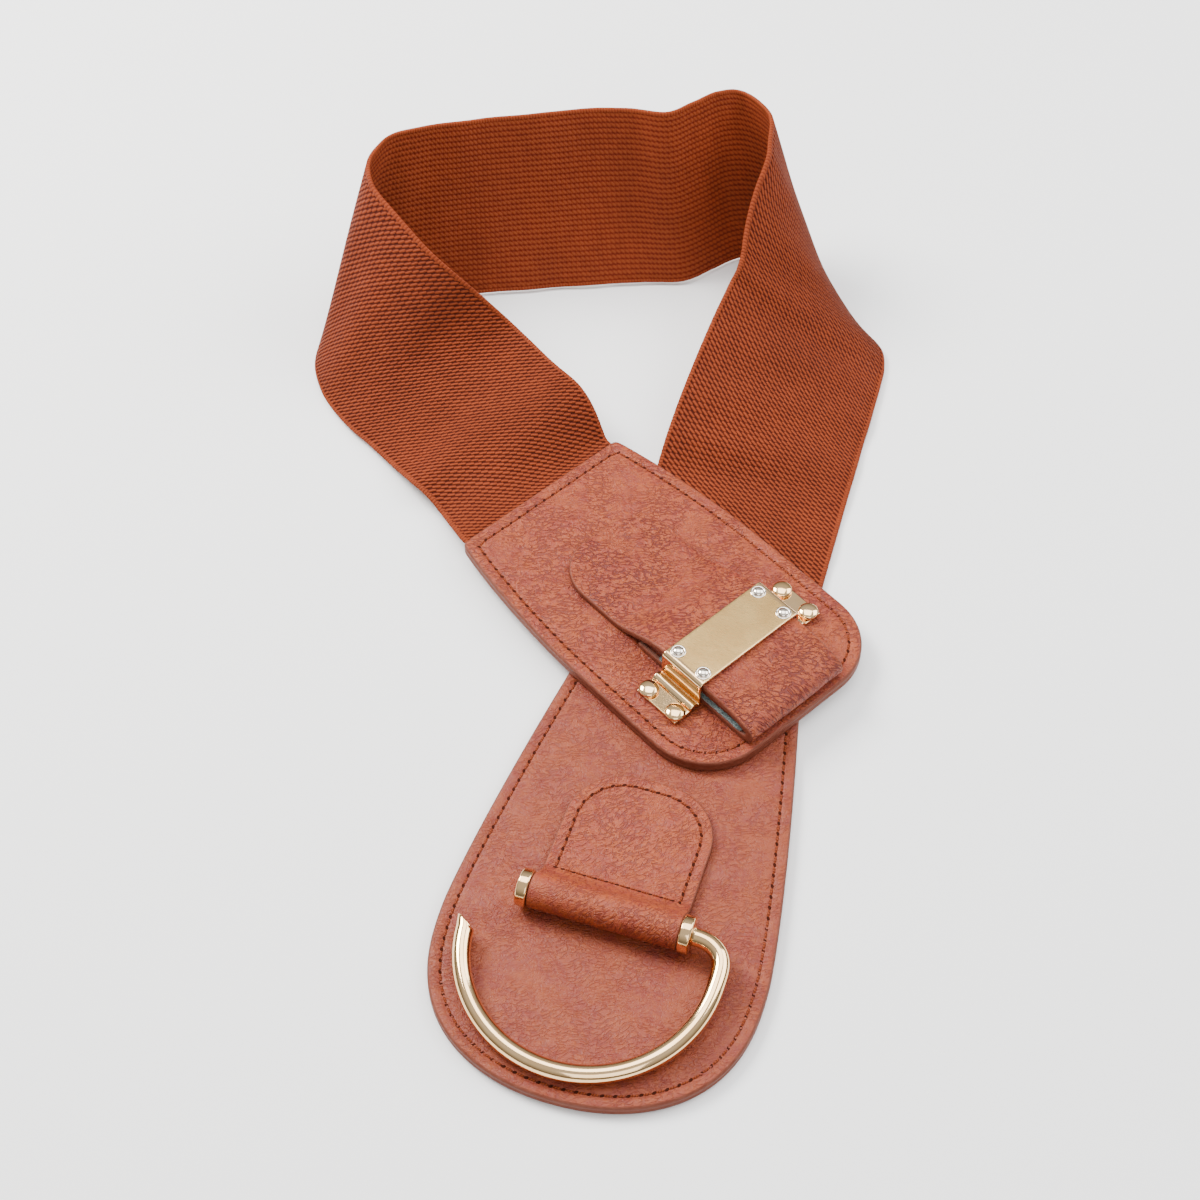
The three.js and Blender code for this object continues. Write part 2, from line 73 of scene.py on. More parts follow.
def turn_z(degrees: float) -> np.ndarray:
    """Rotation about +Z as a 4 by 4 matrix."""
    c, s = math.cos(math.radians(degrees)), math.sin(math.radians(degrees))
    made = np.eye(4)
    made[:2, :2] = [[c, -s], [s, c]]
    return made


def turn_y(degrees: float) -> np.ndarray:
    """Rotation about +Y as a 4 by 4 matrix."""
    c, s = math.cos(math.radians(degrees)), math.sin(math.radians(degrees))
    made = np.eye(4)
    made[0, 0], made[0, 2], made[2, 0], made[2, 2] = c, s, -s, c
    return made


def shift(x: float, y: float, z: float = 0.0) -> np.ndarray:
    """Translation as a 4 by 4 matrix."""
    made = np.eye(4)
    made[:3, 3] = [x, y, z]
    return made


def placed(points: np.ndarray, matrix: np.ndarray) -> np.ndarray:
    """Points carried by a 4 by 4 matrix."""
    return points @ matrix[:3, :3].T + matrix[:3, 3]


@dataclass(frozen=True)
class Layout:
    """Where the two plates and the hook's bar stand in the belt."""

    centre_x: float = 0.0613
    centre_y: float = -1.6650
    plate_x: float = -17.5
    plate_y: float = 34.9
    plate_heading: float = -48.0
    plate_bottom: float = 3.7
    paddle_x: float = 27.1
    paddle_y: float = -21.3
    paddle_heading: float = -106.0
    bar_from_joint: float = 88.4
    bar_across: float = -1.4
    tab_turn: float = -2.3
    bar_height: float = 8.7
    hook_rest: float = 3.357

    @property
    def belt(self) -> np.ndarray:
        """Place of the route's own frame in the belt."""
        return shift(self.centre_x, self.centre_y)

    @property
    def plate(self) -> np.ndarray:
        """Place of the loop plate, x from its joint towards the bridge."""
        return self.belt @ shift(self.plate_x, self.plate_y) @ turn_z(self.plate_heading)

    @property
    def paddle(self) -> np.ndarray:
        """Place of the paddle plate, x from its joint towards its tip."""
        return self.belt @ shift(self.paddle_x, self.paddle_y) @ turn_z(self.paddle_heading)

    @property
    def tab(self) -> np.ndarray:
        """Place of the hook's tab, x from the bar towards the paddle's tip."""
        return self.paddle @ shift(self.bar_from_joint, self.bar_across) @ turn_z(self.tab_turn)

    @property
    def hook(self) -> np.ndarray:
        """Place of the hook at rest, its bar along y."""
        return self.tab @ shift(0, 0, self.bar_height) @ turn_y(self.hook_rest)


LAYOUT = Layout()


# Node materials


class NodeSketch:
    """Short hand for building one material's nodes round a Principled shader."""

    def __init__(self, name: str) -> None:
        """Starts a material of that name."""
        self.material = bpy.data.materials.new(name)
        self.material.use_nodes = True
        self.tree = self.material.node_tree
        self.tree.nodes.clear()
        self.shader = self.tree.nodes.new("ShaderNodeBsdfPrincipled")
        output = self.tree.nodes.new("ShaderNodeOutputMaterial")
        self.tree.links.new(self.shader.outputs[0], output.inputs[0])

    def feed(self, socket: bpy.types.NodeSocket, value) -> None:
        """Links a socket to another, or sets its value."""
        if isinstance(value, bpy.types.NodeSocket):
            self.tree.links.new(value, socket)
        else:
            socket.default_value = value

    def node(self, kind: str, inputs: dict | None = None, **settings) -> bpy.types.Node:
        """A node of one kind.

        Args:
            kind: The node's type name.
            inputs: Values or sockets by input name or number.
            settings: Properties of the node.

        Returns:
            The new node.
        """
        made = self.tree.nodes.new(kind)
        for name, value in settings.items():
            setattr(made, name, value)
        for name, value in (inputs or {}).items():
            self.feed(made.inputs[name], value)
        return made

    def math(self, operation: str, a, b=None, c=None) -> bpy.types.NodeSocket:
        """Result of one math step on up to three values."""
        inputs = {i: v for i, v in enumerate((a, b, c)) if v is not None}
        return self.node("ShaderNodeMath", inputs, operation=operation).outputs[0]

    def flat(self) -> tuple[bpy.types.NodeSocket, bpy.types.NodeSocket, bpy.types.NodeSocket]:
        """The flat place on the cut sheet in mm: the vector, its x and its y."""
        vector = self.node("ShaderNodeUVMap", uv_map="flat").outputs[0]
        parts = self.node("ShaderNodeSeparateXYZ", {0: vector})
        return vector, parts.outputs[0], parts.outputs[1]

    def place(self) -> bpy.types.NodeSocket:
        """The object's own coordinates in mm."""
        raw = self.node("ShaderNodeTexCoord").outputs["Object"]
        scaled = self.node("ShaderNodeVectorMath", {0: raw}, operation="SCALE")
        scaled.inputs["Scale"].default_value = 1 / MM
        return scaled.outputs[0]

    def mapped(self, vector, turn: float = 0.0, stretch: Sequence[float] = (1, 1, 1)):
        """A vector turned in its plane by degrees and then scaled."""
        turned = self.node(
            "ShaderNodeMapping",
            {"Vector": vector, "Rotation": (0, 0, math.radians(turn))},
        ).outputs[0]
        return self.node("ShaderNodeMapping", {"Vector": turned, "Scale": tuple(stretch)}).outputs[0]

    def noise(self, vector, scale: float, detail: float = 2.0, rough: float = 0.5):
        """Fractal noise from 0 to 1."""
        return self.node(
            "ShaderNodeTexNoise",
            {"Vector": vector, "Scale": scale, "Detail": detail, "Roughness": rough},
        ).outputs["Fac"]

    def warped(self, vector, scale: float, amount: float):
        """A vector shaken by colour noise, amount in the vector's own units."""
        noise = self.node("ShaderNodeTexNoise", {"Vector": vector, "Scale": scale, "Detail": 1.0})
        centred = self.node(
            "ShaderNodeVectorMath",
            {0: noise.outputs["Color"], 1: (0.5, 0.5, 0.5)},
            operation="SUBTRACT",
        )
        scaled = self.node("ShaderNodeVectorMath", {0: centred.outputs[0]}, operation="SCALE")
        scaled.inputs["Scale"].default_value = amount
        return self.node(
            "ShaderNodeVectorMath", {0: vector, 1: scaled.outputs[0]}, operation="ADD"
        ).outputs[0]

    def cells(self, vector, scale: float, feature: str = "DISTANCE_TO_EDGE"):
        """Distance inside a cell pattern."""
        return self.node(
            "ShaderNodeTexVoronoi", {"Vector": vector, "Scale": scale}, feature=feature
        ).outputs["Distance"]

    def between(self, value, low: float, high: float, start: float = 0.0, end: float = 1.0):
        """A value carried smoothly from one range to another."""
        return self.node(
            "ShaderNodeMapRange",
            {"Value": value, "From Min": low, "From Max": high, "To Min": start, "To Max": end},
            interpolation_type="SMOOTHSTEP",
        ).outputs[0]

    def mix(self, share, a, b, blend: str = "MIX") -> bpy.types.NodeSocket:
        """Two colours mixed by a share."""
        made = self.node("ShaderNodeMix", data_type="RGBA", blend_type=blend)
        self.feed(made.inputs[0], share)
        self.feed(made.inputs[6], a)
        self.feed(made.inputs[7], b)
        return made.outputs[2]

    def bump(self, height, depth: float, strength: float = 1.0, normal=None):
        """A bump of a depth in mm from a height of 0 to 1."""
        inputs = {"Height": height, "Distance": depth * MM, "Strength": strength}
        if normal is not None:
            inputs["Normal"] = normal
        return self.node("ShaderNodeBump", inputs).outputs[0]

    def finish(self, **values) -> bpy.types.Material:
        """Feeds the shader's inputs, named with underscores, and returns the material."""
        for name, value in values.items():
            self.feed(self.shader.inputs[name.replace("_", " ")], value)
        return self.material


@dataclass(frozen=True)
class WebFinish:
    """Ribbed twill weave of the elastic, drawn from the flat place on the web, with painted shade in the
    grooves between its rows.
    """

    name: str
    width: float
    row_pitch: float
    float_length: float
    row_turn: float
    stagger: float
    light: tuple
    # groove is the colour of the low places between the rows: the yarn's colour darkened with painted shade.
    groove: tuple
    depth: float
    line_pitch: float = 1.7
    line_share: float = 0.0

    def material(self) -> bpy.types.Material:
        """The weave's material."""
        sketch = NodeSketch(self.name)
        vector, along, across = sketch.flat()
        drift = sketch.noise(vector, 0.05, 1.0)
        wander = sketch.noise(vector, 0.45, 2.0)
        c, s = math.cos(math.radians(self.row_turn)), math.sin(math.radians(self.row_turn))
        rows = sketch.math(
            "MULTIPLY_ADD", along, -s / self.row_pitch,
            sketch.math("MULTIPLY", across, c / self.row_pitch),
        )
        rows = sketch.math("MULTIPLY_ADD", drift, 0.6, rows)
        rows = sketch.math("MULTIPLY_ADD", wander, 0.18, rows)
        row = sketch.math("FLOOR", rows)
        floats = sketch.math(
            "MULTIPLY_ADD", along, c / self.float_length,
            sketch.math("MULTIPLY", across, s / self.float_length),
        )
        floats = sketch.math("MULTIPLY_ADD", row, self.stagger, floats)
        floats = sketch.math("MULTIPLY_ADD", wander, 0.35, floats)
        spot = sketch.math("FLOOR", floats)
        in_float = sketch.math("SUBTRACT", sketch.math("FRACT", floats), 0.5)
        slanted = sketch.math("MULTIPLY_ADD", in_float, 0.3, rows)
        in_row = sketch.math("SUBTRACT", sketch.math("FRACT", slanted), 0.5)
        row_crown = sketch.math("SUBTRACT", 1.0, sketch.math(
            "POWER", sketch.math("ABSOLUTE", sketch.math("MULTIPLY", in_row, 2.0)), 1.6))
        float_crown = sketch.math("SUBTRACT", 1.0, sketch.math(
            "POWER", sketch.math("ABSOLUTE", sketch.math("MULTIPLY", in_float, 2.0)), 3.4))
        yarn = sketch.math("MULTIPLY", row_crown, sketch.math("MULTIPLY_ADD", float_crown, 0.36, 0.64))
        line = sketch.math("FRACT", sketch.math(
            "MULTIPLY_ADD", across, 1 / self.line_pitch, sketch.math("MULTIPLY", wander, 0.3)))
        line_crown = sketch.math("SUBTRACT", 1.0, sketch.math(
            "POWER", sketch.math("ABSOLUTE", sketch.math("MULTIPLY_ADD", line, 2.0, -1.0)), 1.8))
        yarn = sketch.math(
            "MULTIPLY_ADD", line_crown, self.line_share,
            sketch.math("MULTIPLY", yarn, 1.0 - self.line_share))
        place = sketch.node("ShaderNodeCombineXYZ", {0: row, 1: spot}).outputs[0]
        chance = sketch.node("ShaderNodeTexWhiteNoise", {"Vector": place}).outputs["Value"]
        fibres = sketch.noise(
            sketch.mapped(vector, self.row_turn, (1.2, 6.5, 1)), 1.0, 3.0, 0.6)
        from_edge = sketch.math("MINIMUM", across, sketch.math("SUBTRACT", self.width, across))
        inside = sketch.between(from_edge, 1.0, 1.5)
        rib = sketch.math("FRACT", sketch.math("MULTIPLY", along, 1.1))
        rib = sketch.math("SUBTRACT", 1.0, sketch.math(
            "POWER", sketch.math("ABSOLUTE", sketch.math("MULTIPLY_ADD", rib, 2.0, -1.0)), 2.0))
        selvage = sketch.math("MULTIPLY_ADD", rib, 0.35, 0.5)
        height = sketch.node("ShaderNodeMix", data_type="FLOAT")
        sketch.feed(height.inputs[0], inside)
        sketch.feed(height.inputs[2], selvage)
        sketch.feed(height.inputs[3], yarn)
        height = sketch.math("MULTIPLY_ADD", fibres, 0.16, height.outputs[0])
        # Colour follows the weave's height. The woven pattern is the yarn's own, and the darker groove colour
        # in the low places is painted shade.
        tone = sketch.between(height, 0.34, 0.98)
        tone = sketch.math("MULTIPLY_ADD", sketch.math("SUBTRACT", chance, 0.5), 0.22, tone)
        colour = sketch.mix(tone, self.groove, self.light)
        broad = sketch.noise(vector, 0.035, 3.0, 0.6)
        shade = sketch.between(broad, 0.25, 0.75, 0.90, 1.08)
        grey = sketch.node("ShaderNodeCombineColor", {0: shade, 1: shade, 2: shade}).outputs[0]
        colour = sketch.mix(1.0, colour, grey, "MULTIPLY")
        rough = sketch.between(height, 0.0, 1.0, 0.95, 0.74)
        return sketch.finish(
            Base_Color=colour, Roughness=rough, Normal=sketch.bump(height, self.depth),
            Specular_IOR_Level=0.15,
        )


@dataclass(frozen=True)
class LeatherFinish:
    """Grained leather with soft creases darkened by painted shade, drawn from the flat place on its panel."""

    name: str
    base: tuple = (0.288, 0.055, 0.018, 1.0)
    pink: tuple = (0.238, 0.038, 0.019, 1.0)
    orange: tuple = (0.315, 0.066, 0.014, 1.0)
    # The crease colour darkens the grain's dips: painted shade in the creases, and its share sets how strong
    # that shade is.
    crease_shade: tuple = (0.105, 0.010, 0.006, 1.0)
    grain_turn: float = 0.0
    crease_shade_share: float = 0.55
    grain_size: float = 1.15
    depth: float = 0.16
    roughness: float = 0.5

    def material(self) -> bpy.types.Material:
        """The leather's material."""
        sketch = NodeSketch(self.name)
        vector, _, _ = sketch.flat()
        soft = sketch.warped(vector, 0.11, 5.0)
        close = sketch.warped(soft, 1.0, 0.22)
        size = self.grain_size
        long_cells = sketch.cells(
            sketch.mapped(close, self.grain_turn, (0.52 / size, 1.15 / size, 1)), 1.0)
        small_cells = sketch.cells(
            sketch.mapped(close, self.grain_turn + 17, (1.15 / size, 1.9 / size, 1)), 1.0)
        strokes = sketch.noise(
            sketch.mapped(soft, self.grain_turn, (0.42, 0.95, 1)), 1.0, 2.0, 0.55)
        pores = sketch.noise(vector, 4.6, 3.0, 0.6)
        patches = sketch.noise(vector, 0.07, 3.0, 0.55)
        where = sketch.between(patches, 0.34, 0.62, 0.3, 1.0)
        lines = sketch.math("SUBTRACT", 1.0, sketch.between(long_cells, 0.04, 0.19))
        cut = sketch.math("MULTIPLY", lines, sketch.between(strokes, 0.42, 0.50))
        cut = sketch.math("MULTIPLY", cut, where)
        small = sketch.math(
            "MULTIPLY", sketch.math("SUBTRACT", 1.0, sketch.between(small_cells, 0.0, 0.26)), 0.30)
        dips = sketch.math("MINIMUM", sketch.math("ADD", cut, small), 1.0)
        height = sketch.math("MULTIPLY_ADD", pores, 0.2, sketch.math("SUBTRACT", 1.0, dips))
        tone = sketch.noise(vector, 0.1, 4.0, 0.62)
        colour = sketch.mix(sketch.between(tone, 0.40, 0.62), self.base, self.pink)
        tint = sketch.between(sketch.noise(vector, 0.5, 3.0, 0.6), 0.40, 0.70, 0.0, 0.65)
        colour = sketch.mix(tint, colour, self.orange)
        # Painted shade: the dips of the grain are darkened towards the crease colour, standing in for shade in
        # the creases.
        dark = sketch.math("MULTIPLY", dips, self.crease_shade_share)
        colour = sketch.mix(sketch.math("MINIMUM", dark, 0.9), colour, self.crease_shade)
        rough = sketch.math(
            "MULTIPLY_ADD", sketch.math("SUBTRACT", pores, 0.5), 0.24, self.roughness)
        return sketch.finish(
            Base_Color=colour, Roughness=rough, Normal=sketch.bump(height, self.depth),
            Specular_IOR_Level=0.32,
        )


@dataclass(frozen=True)
class EdgeFinish:
    """Painted and burnished leather edge, slightly streaked."""

    name: str = "painted_edge"
    paint: tuple = (0.130, 0.028, 0.013, 1.0)
    worn: tuple = (0.175, 0.050, 0.028, 1.0)

    def material(self) -> bpy.types.Material:
        """The edge paint's material."""
        sketch = NodeSketch(self.name)
        place = sketch.place()
        streak = sketch.noise(sketch.mapped(place, 0.0, (0.5, 0.5, 3.4)), 1.0, 3.0, 0.6)
        grit = sketch.noise(place, 3.0, 2.0)
        colour = sketch.mix(sketch.between(streak, 0.35, 0.72), self.paint, self.worn)
        rough = sketch.between(streak, 0.2, 0.8, 0.48, 0.65)
        normal = sketch.bump(sketch.math("MULTIPLY_ADD", grit, 0.4, streak), 0.07)
        return sketch.finish(
            Base_Color=colour, Roughness=rough, Normal=normal, Specular_IOR_Level=0.22)


@dataclass(frozen=True)
class BackFinish:
    """Plain suede-like back of the leather."""

    name: str = "leather_back"
    base: tuple = (0.200, 0.070, 0.040, 1.0)
    dark: tuple = (0.110, 0.028, 0.014, 1.0)

    def material(self) -> bpy.types.Material:
        """The back's material."""
        sketch = NodeSketch(self.name)
        place = sketch.place()
        nap = sketch.noise(place, 2.6, 4.0, 0.7)
        colour = sketch.mix(sketch.between(nap, 0.35, 0.65), self.dark, self.base)
        return sketch.finish(
            Base_Color=colour, Roughness=0.9, Normal=sketch.bump(nap, 0.12), Sheen_Weight=0.2)


@dataclass(frozen=True)
class ThreadFinish:
    """Twisted sewing thread, with painted shade between its plies."""

    name: str = "sewing_thread"
    light: tuple = (0.225, 0.040, 0.007, 1.0)
    dark: tuple = (0.095, 0.013, 0.003, 1.0)

    def material(self) -> bpy.types.Material:
        """The thread's material."""
        sketch = NodeSketch(self.name)
        _, along, across = sketch.flat()
        ply = sketch.math("SINE", sketch.math(
            "MULTIPLY_ADD", along, 9.0, sketch.math("MULTIPLY", across, 6.283)))
        ply = sketch.math("MULTIPLY_ADD", ply, 0.5, 0.5)
        # Painted shade: the thread darkens in the low places between the plies, on top of the ply bump.
        colour = sketch.mix(ply, self.dark, self.light)
        return sketch.finish(
            Base_Color=colour, Roughness=0.7, Normal=sketch.bump(ply, 0.05),
            Specular_IOR_Level=0.2)


@dataclass(frozen=True)
class HoleShadeFinish:
    """Painted shade: a dark colour standing in for the shadow inside an awl hole."""

    name: str = "awl_hole_shade"
    light: tuple = (0.050, 0.008, 0.003, 1.0)
    dark: tuple = (0.016, 0.003, 0.001, 1.0)

    def material(self) -> bpy.types.Material:
        """The hole's material."""
        sketch = NodeSketch(self.name)
        grit = sketch.noise(sketch.place(), 5.0, 2.0)
        colour = sketch.mix(sketch.between(grit, 0.3, 0.7), self.dark, self.light)
        return sketch.finish(Base_Color=colour, Roughness=0.95, Specular_IOR_Level=0.1)


@dataclass(frozen=True)
class FeltFinish:
    """Dark grey green felt of tangled short fibres."""

    name: str = "felt"
    base: tuple = (0.050, 0.075, 0.075, 1.0)
    light: tuple = (0.260, 0.330, 0.320, 1.0)

    def material(self) -> bpy.types.Material:
        """The felt's material."""
        sketch = NodeSketch(self.name)
        place = sketch.place()
        tangle = sketch.noise(sketch.warped(place, 0.8, 2.4), 2.4, 4.0, 0.7)
        clumps = sketch.noise(place, 0.5, 2.0)
        mixed = sketch.math("MULTIPLY_ADD", clumps, 0.5, tangle)
        colour = sketch.mix(sketch.between(mixed, 0.55, 1.0), self.base, self.light)
        return sketch.finish(
            Base_Color=colour, Roughness=0.95, Normal=sketch.bump(tangle, 0.35),
            Sheen_Weight=0.4, Sheen_Roughness=0.4)


@dataclass(frozen=True)
class MetalFinish:
    """Plated metal, polished or satin, with faint rubbing marks."""

    name: str
    colour: tuple
    deep: tuple
    roughness: float
    marks: float
    mark_depth: float

    def material(self) -> bpy.types.Material:
        """The metal's material."""
        sketch = NodeSketch(self.name)
        place = sketch.place()
        rub = sketch.noise(sketch.mapped(place, 24.0, (0.25, 5.0, 1.2)), 1.4, 4.0, 0.65)
        wave = sketch.noise(place, 0.16, 2.0)
        colour = sketch.mix(sketch.between(wave, 0.3, 0.7), self.colour, self.deep)
        rough = sketch.math(
            "MULTIPLY_ADD", sketch.math("SUBTRACT", rub, 0.5), self.marks, self.roughness)
        normal = sketch.bump(sketch.math("MULTIPLY_ADD", rub, 0.25, wave), self.mark_depth)
        return sketch.finish(Base_Color=colour, Metallic=1.0, Roughness=rough, Normal=normal)


@dataclass(frozen=True)
class FloorFinish:
    """Plain pale studio floor."""

    name: str = "studio_floor"
    tone: tuple = (0.93, 0.93, 0.93, 1.0)

    def material(self) -> bpy.types.Material:
        """The floor's material."""
        sketch = NodeSketch(self.name)
        return sketch.finish(Base_Color=self.tone, Roughness=0.9, Specular_IOR_Level=0.1)


@dataclass
class Wardrobe:
    """Every finish of the belt, made once."""

    web_outer: bpy.types.Material = field(default_factory=lambda: WebFinish(
        "web_outer", 57.0, 1.17, 2.25, -50.0, 0.55,
        (0.214, 0.035, 0.0082, 1.0), (0.052, 0.0050, 0.001, 1.0), 0.38).material())
    web_inner: bpy.types.Material = field(default_factory=lambda: WebFinish(
        "web_inner", 57.0, 1.08, 2.27, -51.0, 0.578,
        (0.222, 0.038, 0.009, 1.0), (0.108, 0.012, 0.003, 1.0), 0.22,
        line_share=0.6).material())
    plate: bpy.types.Material = field(default_factory=lambda: LeatherFinish(
        "leather_plate", grain_turn=-48.0, crease_shade_share=0.72, depth=0.26).material())
    paddle: bpy.types.Material = field(default_factory=lambda: LeatherFinish(
        "leather_paddle", base=(0.236, 0.0445, 0.0155, 1.0), pink=(0.198, 0.0315, 0.0172, 1.0),
        orange=(0.256, 0.0545, 0.0138, 1.0), grain_turn=-116.0, crease_shade_share=0.42, depth=0.16).material())
    strap: bpy.types.Material = field(default_factory=lambda: LeatherFinish(
        "leather_strap", grain_turn=-44.0, crease_shade_share=0.9, depth=0.32).material())
    tab: bpy.types.Material = field(default_factory=lambda: LeatherFinish(
        "leather_tab", grain_turn=-138.0, crease_shade_share=0.62, grain_size=1.15, depth=0.22).material())
    edge: bpy.types.Material = field(default_factory=lambda: EdgeFinish().material())
    back: bpy.types.Material = field(default_factory=lambda: BackFinish().material())
    thread: bpy.types.Material = field(default_factory=lambda: ThreadFinish().material())
    # Painted shade for the awl holes.
    hole: bpy.types.Material = field(default_factory=lambda: HoleShadeFinish().material())
    felt: bpy.types.Material = field(default_factory=lambda: FeltFinish().material())
    polished: bpy.types.Material = field(default_factory=lambda: MetalFinish(
        "gold_polished", (0.90, 0.615, 0.33, 1), (0.85, 0.55, 0.265, 1), 0.08, 0.05, 0.02).material())
    satin: bpy.types.Material = field(default_factory=lambda: MetalFinish(
        "gold_satin", (0.565, 0.365, 0.140, 1), (0.495, 0.305, 0.110, 1), 0.28, 0.12, 0.03).material())
    bright: bpy.types.Material = field(default_factory=lambda: MetalFinish(
        "rivet_bright", (0.86, 0.77, 0.68, 1), (0.80, 0.70, 0.59, 1), 0.07, 0.04, 0.01).material())
    floor: bpy.types.Material = field(default_factory=lambda: FloorFinish().material())


# Mesh helpers


@dataclass
class Skin:
    """Points, faces, face finishes and flat places gathered for one mesh."""

    points: list[np.ndarray] = field(default_factory=list)
    flats: list[np.ndarray] = field(default_factory=list)
    faces: list[tuple[int, ...]] = field(default_factory=list)
    finishes: list[int] = field(default_factory=list)
    count: int = 0

    def add(self, points: np.ndarray, flats: np.ndarray) -> int:
        """Adds points with their flat places and returns the first one's number."""
        first = self.count
        self.points.append(np.asarray(points, float))
        self.flats.append(np.asarray(flats, float))
        self.count += len(points)
        return first

    def face(self, corners: Sequence[int], finish: int = 0) -> None:
        """Adds one face."""
        self.faces.append(tuple(int(corner) for corner in corners))
        self.finishes.append(finish)

    def strip(self, low: int, high: int, size: int, finish: int, closed: bool = True) -> None:
        """Quads between two rings of the same size."""
        for spot in range(size if closed else size - 1):
            after = (spot + 1) % size
            self.face((low + spot, low + after, high + after, high + spot), finish)

    def object(
        self, name: str, materials: Sequence[bpy.types.Material], matrix: np.ndarray,
    ) -> bpy.types.Object:
        """Makes the object.

        Args:
            name: Its name.
            materials: Finishes by face finish number.
            matrix: Place of the skin's own frame in the belt.

        Returns:
            The new object, smooth shaded, its points in metres.
        """
        points = placed(np.concatenate(self.points), matrix) * MM
        flats = np.concatenate(self.flats)
        mesh = bpy.data.meshes.new(name)
        mesh.from_pydata(points.tolist(), [], self.faces)
        mesh.polygons.foreach_set("material_index", self.finishes)
        mesh.polygons.foreach_set("use_smooth", [True] * len(self.faces))
        corners = np.empty(len(mesh.loops), dtype=np.int64)
        mesh.loops.foreach_get("vertex_index", corners)
        layer = mesh.uv_layers.new(name="flat")
        layer.data.foreach_set("uv", flats[corners][:, :2].astype(np.float32).ravel())
        for material in materials:
            mesh.materials.append(material)
        mesh.update()
        mesh.validate()
        made = bpy.data.objects.new(name, mesh)
        bpy.context.scene.collection.objects.link(made)
        return made


def settle(piece: bpy.types.Object, body: Body, nodes: Sequence[str] = ()) -> None:
    """Puts a piece on its body and the CAD nodes that it replaces."""
    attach(piece, body.value)
    if nodes:
        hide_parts(*nodes)
    LOG.info("%s: %d faces", piece.name, len(piece.data.polygons))


def resampled(line: np.ndarray, pitch: float, closed: bool = False) -> np.ndarray:
    """Evenly spaced points on a line.

    Args:
        line: Points, one a row.
        pitch: The spacing that is wanted, in mm.
        closed: Whether the last point joins the first.

    Returns:
        The new points, without a repeated end when closed.
    """
    path = np.vstack([line, line[:1]]) if closed else line
    steps = np.linalg.norm(np.diff(path, axis=0), axis=1)
    reach = np.concatenate([[0], np.cumsum(steps)])
    count = max(int(round(reach[-1] / pitch)), 2)
    wanted = np.linspace(0, reach[-1], count + 1)
    if closed:
        wanted = wanted[:-1]
    return np.stack([np.interp(wanted, reach, path[:, axis]) for axis in range(path.shape[1])], 1)


def softened(line: np.ndarray, rounds: int) -> np.ndarray:
    """A closed line with its corners eased by averaging."""
    for _ in range(rounds):
        line = 0.5 * line + 0.25 * (np.roll(line, 1, 0) + np.roll(line, -1, 0))
    return line


def arc(centre: Sequence[float], radius: float, start: float, end: float, steps: int) -> np.ndarray:
    """Points of an arc between two angles in degrees."""
    angles = np.radians(np.linspace(start, end, steps + 1))
    return np.stack([centre[0] + radius * np.cos(angles), centre[1] + radius * np.sin(angles)], 1)


def inset_ring(outline: np.ndarray, inset: float) -> np.ndarray:
    """Each point of a counter clockwise outline moved inwards along its mitre."""
    into = outline - np.roll(outline, 1, 0)
    out = np.roll(outline, -1, 0) - outline
    into /= np.linalg.norm(into, axis=1, keepdims=True)
    out /= np.linalg.norm(out, axis=1, keepdims=True)
    mean = into + out
    mean /= np.linalg.norm(mean, axis=1, keepdims=True)
    mitre = np.clip((mean * into).sum(1), 0.6, 1.0)
    inward = np.stack([-mean[:, 1], mean[:, 0]], 1)
    return outline + inward * (inset / mitre)[:, None]


def edge_distance(points: np.ndarray, outline: np.ndarray) -> np.ndarray:
    """Distance of each point from a closed outline."""
    start = outline
    run = np.roll(outline, -1, 0) - outline
    squares = (run ** 2).sum(1)
    best = np.full(len(points), np.inf)
    for first in range(0, len(points), 2000):
        part = points[first:first + 2000]
        away = part[:, None, :] - start[None]
        share = np.clip((away * run[None]).sum(2) / squares, 0, 1)
        gap = away - share[..., None] * run[None]
        best[first:first + 2000] = np.sqrt((gap ** 2).sum(2)).min(1)
    return best


def inner_line(outline: np.ndarray, inset: float, pitch: float) -> np.ndarray:
    """A closed line at one distance inside an outline, corners included."""
    line = inset_ring(outline, inset)
    kept = line[edge_distance(line, outline) > inset - 0.04]
    return resampled(kept, pitch, closed=True)


def inside(points: np.ndarray, outline: np.ndarray) -> np.ndarray:
    """Whether each point lies inside a closed outline."""
    x, y = points[:, 0], points[:, 1]
    within = np.zeros(len(points), bool)
    for (ax, ay), (bx, by) in zip(outline, np.roll(outline, -1, 0)):
        if ay == by:
            continue
        crossed = (ay > y) != (by > y)
        within ^= crossed & (x < (bx - ax) * (y - ay) / (by - ay) + ax)
    return within


def flat_bend(points: np.ndarray) -> np.ndarray:
    """Leaves a panel flat."""
    return points


